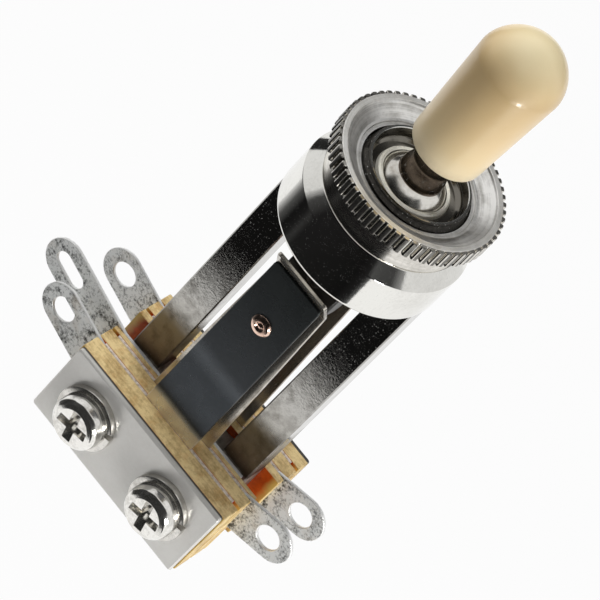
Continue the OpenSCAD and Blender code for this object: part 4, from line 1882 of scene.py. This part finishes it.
@dataclass
class LeafRows:
    """Both rows of leaves with their contacts, and the grounding lug."""

    stack: Stack
    lean: float = 0.8
    bend_z: float = -13.6
    ramp: float = 40.0
    ramp_len: float = 5.1
    outer_top: float = -11.5
    flex_start: float = -21.84
    flex_end: float = -8.9
    ground_right: float = 8.6
    half_sheet: float = 0.2
    outer_widths: Pair = (7.0, 6.6)
    inner_widths: Pair = (8.8, 7.0)
    inner_reach: float = 14.95

    def inner_path(self) -> Loop:
        """Returns the inner blade's line: upright, then a ramp outward.

        Returns:
            The line as (outward, up) points.
        """
        s = self.stack
        foot = s.inner_y + self.half_sheet
        knee = foot + (self.bend_z - s.top) * math.tan(math.radians(self.lean))
        a = math.radians(self.ramp)
        end = (knee + self.ramp_len * math.sin(a), self.bend_z + self.ramp_len * math.cos(a))
        return [(foot, s.top), (knee, self.bend_z), end]

    def outer_path(self) -> Loop:
        """Returns the outer blade's line.

        Returns:
            The line as (outward, up) points.
        """
        s = self.stack
        foot = s.outer_y + self.half_sheet
        rise = self.outer_top - s.top
        return [(foot + rise * t * math.tan(math.radians(self.lean)), s.top + rise * t) for t in (0, 0.5, 1)]

    def flex(self, piece: Piece, node: str) -> None:
        """Hides the node that a piece stands for and bakes the piece's place into its mesh.

        Args:
            piece: The piece.
            node: The node that it stands for.
        """
        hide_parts(node)
        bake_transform(piece)
        log.info("%s: %d faces, bends between switch and lever", piece.name, len(piece.data.polygons))

    def build(self, finishes: Finishes) -> None:
        """Makes the four leaves, their contacts and the grounding lug.

        Args:
            finishes: The switch's finishes.
        """
        s = self.stack
        outer = (s.outer_y, *self.outer_widths, self.outer_path(), SolderLug(), -1)
        inner = (s.inner_y, *self.inner_widths, self.inner_path(), SolderLug(reach=self.inner_reach), 1)
        kinds = (("outer", outer, finishes.outer_blade), ("inner", inner, finishes.inner_blade))
        for row, rear in (("front", False), ("rear", True)):
            for place, shape, blade in kinds:
                leaf = Leaf(f"leaf_{row}_{place}", *shape, rear)
                self.flex(leaf.build(s, finishes, blade), leaf.node)
                node = f"contact_{row}_{place}"
                rivet = Contact(node, leaf.level + self.half_sheet, leaf.side, rear)
                self.flex(rivet.build(s, finishes.rivet), node)
        outline, slot = SolderLug(reach=18.6, drop=0.4, end_reach=1.0, hole=0.95, slot=4.25).loops(s, -1)
        sheet = Region([s.layer(-s.leaf_half, self.ground_right), outline], [*s.holes(s.hole_r), slot])
        ground = Mould("ground_lug_tinned").prism(sheet, s.frame_y, s.ground_y, 0.05)
        settle(ground.cast([finishes.lug]), "switch", ["ground_lug"])


@dataclass
class FrameBar:
    """The barrel-finished bar that joins the can to the stack."""

    width: float = 18.1
    window: float = 10.5
    thickness: float = 3.2
    top: float = -6.25
    heel: float = 1.3
    overlap: float = 0.9

    def build(self, stack: Stack, finishes: Finishes) -> None:
        """Makes the bar with its window.

        Args:
            stack: The stack that the bar ends in.
            finishes: The switch's finishes.
        """
        low, high = stack.top - self.overlap, self.top + 1
        half, gap, heel = self.width / 2, self.window / 2, self.heel
        window = eased([(-gap, low), (gap, low), (gap, high), (-gap, high)], [heel, heel, 0, 0], 6)
        region = Region([box_loop(-half, half, stack.bottom, self.top)], [window, *stack.holes(stack.hole_r)])
        bar = Mould("frame_bar").prism(region, -self.thickness / 2, self.thickness / 2, 0.14)
        settle(bar.cast([finishes.bar], 30), "switch", ["frame"])


@dataclass
class StackScrew:
    """A cross-recessed screw with its split lock washer."""

    name: str
    x: float
    stack: Stack
    turn: float
    shank_r: float = 1.4
    head_r: float = 2.95
    head_h: float = 1.9
    washer_r: float = 3.55
    washer_t: float = 0.8
    washer_bore: float = 1.5
    washer_start: float = 26.0
    washer_turn: float = 348.0
    washer_steps: int = 60
    tail: float = 0.6
    recess_share: float = 0.74
    wing_share: float = 0.17

    def stand(self) -> Matrix:
        """Returns the matrix that lays the screw's axis along the stack."""
        return Matrix.Translation((self.x, 0, self.stack.screw_z)) @ FRONT

    def head(self) -> Loop:
        """Returns the screw's profile, from its tail to the top of its head.

        Returns:
            The profile.
        """
        seat = self.stack.front_face_y + self.washer_t
        tail = -self.stack.rear_face_y - self.tail
        r, h = self.head_r, self.head_h
        corners = [
            ((0, tail), 0),
            ((self.shank_r - 0.3, tail), 0),
            ((self.shank_r, tail + 0.3), 0.1),
            ((self.shank_r, seat), 0),
            ((r, seat), 0.12),
            ((r, seat + h * 0.42), 0.3),
            ((r * 0.95, seat + h * 0.76), 0.35),
            ((r * 0.83, seat + h * 0.95), 0.35),
            ((r * 0.66, seat + h), 0.3),
            ((0, seat + h), 0),
        ]
        return rounded(corners, 5, False)

    def recess(self) -> Piece:
        """Makes the cutter of the cross recess.

        Returns:
            The cutter, as an object.
        """
        top = self.stack.front_face_y + self.washer_t + self.head_h
        depth, wide = self.head_h * self.recess_share, self.head_r * self.recess_share
        point = self.head_r * (1 - self.recess_share)
        wing = [(-wide, 0.4), (wide, 0.4), (point, -depth), (-point, -depth)]
        mould = Mould("recess_cutter")
        for quarter in (0, 90):
            turn = Matrix.Rotation(math.radians(self.turn + quarter), 4, "Z")
            upright = turn @ Matrix.Rotation(math.pi / 2, 4, "X")
            place = self.stand() @ Matrix.Translation((0, 0, top)) @ upright
            half = self.head_r * self.wing_share + (0.01 if quarter else 0)
            mould.prism(Region([wing], []), -half, half, 0.02, place)
        return mould.cast([])

    def build(self, finishes: Finishes) -> None:
        """Makes the screw and its washer.

        Args:
            finishes: The switch's finishes.
        """
        turned_head = Mould(f"screw_{self.name}_head").lathe(self.head(), 64, False, self.stand())
        body = turned_head.cast([finishes.screw])
        cutter = self.recess()
        cut = body.modifiers.new("recess", "BOOLEAN")
        cut.object, cut.operation, cut.solver = cutter, "DIFFERENCE", "EXACT"
        cut.use_self = True
        graph = bpy.context.evaluated_depsgraph_get()
        mesh = bpy.data.meshes.new_from_object(body.evaluated_get(graph), depsgraph=graph)
        body.modifiers.clear()
        body.data = mesh
        mesh.set_sharp_from_angle(angle=math.radians(CRISP))
        bpy.data.objects.remove(cutter)
        settle(body, "switch", [f"screw_{self.name}"])
        self.washer(finishes)

    def washer(self, finishes: Finishes) -> None:
        """Winds the split washer, whose ends stand a little apart.

        Args:
            finishes: The switch's finishes.
        """
        low = self.stack.front_face_y
        section = box_loop(self.washer_bore, self.washer_r, low, low + self.washer_t)
        corners = eased(section, [0.05, 0.12, 0.12, 0.05], 2)
        rows = []
        for k in range(self.washer_steps + 1):
            angle = math.radians(self.washer_start + self.washer_turn * k / self.washer_steps)
            row = [Vector((r * math.cos(angle), r * math.sin(angle), h)) for r, h in corners]
            rows.append([self.stand() @ spot for spot in row])
        mould = Mould(f"lock_washer_{self.name}_split").sweep(rows)
        settle(mould.cast([finishes.washer]), "switch", [f"lock_washer_{self.name}"])


# ---- stage ----


def bearing(azimuth: float, elevation: float) -> Vector:
    """Returns the direction at an azimuth and an elevation in degrees, seen from the part.

    Args:
        azimuth: Degrees from the front toward the right.
        elevation: Degrees above the level.

    Returns:
        The direction, of length 1.
    """
    a, e = math.radians(azimuth), math.radians(elevation)
    return Vector((math.sin(a) * math.cos(e), -math.cos(a) * math.cos(e), math.sin(e)))


@dataclass(frozen=True)
class Card:
    """A card curved round the part, seen only in reflections.

    A dark card shapes polished metal, and a small bright one gives a glint.
    """

    name: str
    azimuths: Pair
    elevations: Pair
    shades: tuple[Pair, ...]
    strength: float = 1.0
    distance: float = 0.12
    columns: int = 48
    rises: int = 16

    def spot(self, across: float, rise: float) -> Vector:
        """Returns the point at a share of the card's width and height.

        Args:
            across: The share of its width, from its first azimuth.
            rise: The share of its height, from its lower edge.

        Returns:
            The point, in metres.
        """
        (left, right), (low, high) = self.azimuths, self.elevations
        return bearing(left + (right - left) * across, low + (high - low) * rise) * self.distance

    def build(self) -> None:
        """Hangs the card and grades it along its width."""
        columns, rises = self.columns, self.rises
        spots = [self.spot(k / columns, j / rises) for j in range(rises + 1) for k in range(columns + 1)]
        row = columns + 1
        faces = [(j * row + k, j * row + k + 1, (j + 1) * row + k + 1, (j + 1) * row + k)
                 for j in range(rises) for k in range(columns)]
        mesh = bpy.data.meshes.new(self.name)
        mesh.from_pydata(spots, [], faces)
        width = mesh.attributes.new("across", "FLOAT", "POINT")
        width.data.foreach_set("value", [i % row / columns for i in range(len(spots))])
        kit = Kit(f"{self.name}_cloth")
        run = kit.node("ShaderNodeAttribute", {"attribute_name": "across"}, {}, "Fac")
        start, end = self.azimuths
        shares = [((a - start) / (end - start), shade) for a, shade in self.shades]
        stops = [(max(0.0, share), (shade, shade, shade, 1.0)) for share, shade in shares]
        glow = kit.node("ShaderNodeEmission", {}, {"Color": kit.ramp(run, stops), "Strength": self.strength})
        kit.tree.links.new(glow.socket, kit.out.inputs[0])
        mesh.materials.append(kit.material)
        card = bpy.data.objects.new(self.name, mesh)
        bpy.context.scene.collection.objects.link(card)
        card.visible_camera = card.visible_diffuse = card.visible_shadow = card.visible_transmission = False


@dataclass
class Studio:
    """Camera, soft lights, pale floor and the cards that polished metal reflects."""

    azimuth: float = 9.7498
    elevation: float = 42.4565
    roll: float = -44.1221
    aim: tuple[float, float, float] = (0.0, 0.0, -10.05)
    shift_right: float = -3.7776
    shift_up: float = -3.9458
    distance: float = 352.7
    lens: float = 221.8
    sensor: float = 36.0
    lamp_distance: float = 0.42
    lamp_aim_z: float = -0.01
    floor_z: float = -270.0
    floor_half: float = 1500.0
    floor_glow: float = 0.95
    ambient: float = 0.3

    def axes(self) -> tuple[Vector, Vector, Vector]:
        """Returns the camera's right, up and backward directions.

        Returns:
            The three directions.
        """
        a, r = math.radians(self.azimuth), math.radians(self.roll)
        back = bearing(self.azimuth, self.elevation)
        right = Vector((math.cos(a), math.sin(a), 0))
        up = back.cross(right)
        return right * math.cos(r) - up * math.sin(r), right * math.sin(r) + up * math.cos(r), back

    def camera(self) -> None:
        """Places the camera."""
        right, up, back = self.axes()
        data = bpy.data.cameras.new("view_camera")
        data.lens, data.sensor_width = self.lens, self.sensor
        data.clip_start, data.clip_end = 0.01, 10
        camera = bpy.data.objects.new("view_camera", data)
        spot = Vector(self.aim) + right * self.shift_right + up * self.shift_up + back * self.distance
        turn = Matrix((right, up, back)).transposed().to_4x4()
        camera.matrix_world = Matrix.Translation(spot * MM) @ turn
        bpy.context.scene.collection.objects.link(camera)
        bpy.context.scene.camera = camera

    def lamp(self, name: str, azimuth: float, elevation: float, size: Pair, power: float) -> None:
        """Hangs one soft light, seen from the part at an azimuth and an elevation.

        Args:
            name: The light's name.
            azimuth: Degrees from the front toward the right.
            elevation: Degrees above the level.
            size: Its width and height, in metres.
            power: Its power, in watts.
        """
        way = bearing(azimuth, elevation)
        data = bpy.data.lights.new(name, "AREA")
        data.shape, data.size, data.size_y, data.energy = "RECTANGLE", size[0], size[1], power
        light = bpy.data.objects.new(name, data)
        light.visible_glossy = False
        place = Matrix.Translation(way * self.lamp_distance + Vector((0, 0, self.lamp_aim_z)))
        light.matrix_world = place @ way.to_track_quat("Z", "Y").to_matrix().to_4x4()
        bpy.context.scene.collection.objects.link(light)

    def floor(self) -> None:
        """Lays the pale floor, which stays white to the eye and keeps a soft shadow."""
        kit = Kit("floor_white")
        path = kit.node("ShaderNodeLightPath", {}, {}, "Is Camera Ray")
        outputs = path.socket.node.outputs
        seen = (path + Wire(kit, outputs["Is Glossy Ray"]) + Wire(kit, outputs["Is Transmission Ray"])).clip()
        matte = kit.node("ShaderNodeBsdfDiffuse", {}, {"Color": (0.8, 0.8, 0.8, 1)})
        glow = kit.node("ShaderNodeEmission", {}, {"Color": (1, 1, 1, 1), "Strength": 1.0})
        both = kit.node("ShaderNodeMixShader", {}, {0: seen * self.floor_glow, 1: matte, 2: glow})
        kit.tree.links.new(both.socket, kit.out.inputs[0])
        mould = Mould("floor")
        edges = box_loop(-self.floor_half, self.floor_half, -self.floor_half, self.floor_half)
        mould.bm.faces.new([mould.bm.verts.new((x, y, self.floor_z)) for x, y in edges])
        mould.cast([kit.material])

    def world(self) -> None:
        """Sets the plain surroundings: white to the eye and in reflections, dimmer as light."""
        world = bpy.data.worlds.new("studio_white")
        world.use_nodes = True
        tree = world.node_tree
        tree.nodes.clear()
        path = tree.nodes.new("ShaderNodeLightPath")
        seen = path.outputs["Is Camera Ray"]
        for ray in ("Is Glossy Ray", "Is Transmission Ray"):
            both = tree.nodes.new("ShaderNodeMath")
            both.operation = "ADD"
            tree.links.new(seen, both.inputs[0])
            tree.links.new(path.outputs[ray], both.inputs[1])
            seen = both.outputs[0]
        shade = tree.nodes.new("ShaderNodeMapRange")
        tree.links.new(seen, shade.inputs[0])
        shade.inputs["To Min"].default_value, shade.inputs["To Max"].default_value = self.ambient, 1.0
        sky = tree.nodes.new("ShaderNodeBackground")
        tree.links.new(shade.outputs[0], sky.inputs["Strength"])
        end = tree.nodes.new("ShaderNodeOutputWorld")
        tree.links.new(sky.outputs[0], end.inputs[0])
        bpy.context.scene.world = world

    def build(self) -> None:
        """Sets the whole stage."""
        bpy.context.scene.view_settings.view_transform = "Standard"
        self.camera()
        self.world()
        self.floor()
        self.lamp("key_light", 72, -8, (0.26, 0.5), 1.7)
        self.lamp("top_light", -115, 50, (0.4, 0.4), 1.5)
        for card in self.cards():
            card.build()

    def cards(self) -> list[Card]:
        """Returns the cards, with their shades given at azimuths in degrees.

        Returns:
            The cards, in the order they are hung.
        """
        near = ((-50, 0.034), (-42, 0.012), (10, 0.009), (34, 0.006), (45, 0.012), (51, 0.09))
        front = ((-99, 0.75), (-92, 0.35), (-84, 0.08), (-70, 0.007), (-58, 0.012), *near)
        return [
            Card("dark_card_front", (-99, 51), (-50.6, 8), front),
            Card("dark_card_above", (-70, 51), (8, 52), ((-70, 0.6), (-62, 0.06), *near)),
            Card("glint_card", (50, 61), (-18, -8), ((50, 1), (61, 1)), 30.0),
            Card("dark_card_rear", (143, 188), (4, 46.3), ((143, 0.1), (188, 0.05))),
            Card("dark_card_rear_left", (188, 230), (9, 44.7), ((188, 0.06), (230, 0.08))),
            Card("dark_card_left", (230, 245), (-14, 24), ((230, 0.03), (245, 0.01))),
            Card("dark_card_right", (51, 84), (14, 50), ((51, 0.07), (72, 0.05), (84, 0.3))),
        ]


def main() -> None:
    """Builds the stage and every sub-assembly in order."""
    logging.basicConfig(level=logging.INFO, format="%(name)s: %(message)s")
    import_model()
    Studio().build()
    finishes = Finishes.mixed()
    stack = Stack()
    Housing().build(finishes)
    DressNut().build(finishes)
    Lever().build(finishes)
    FrameBar().build(stack, finishes)
    stack.build(finishes)
    LeafRows(stack).build(finishes)
    StackScrew("left", -stack.screw_x, stack, 12).build(finishes)
    StackScrew("right", stack.screw_x, stack, 12).build(finishes)


if __name__ == "__main__":
    main()
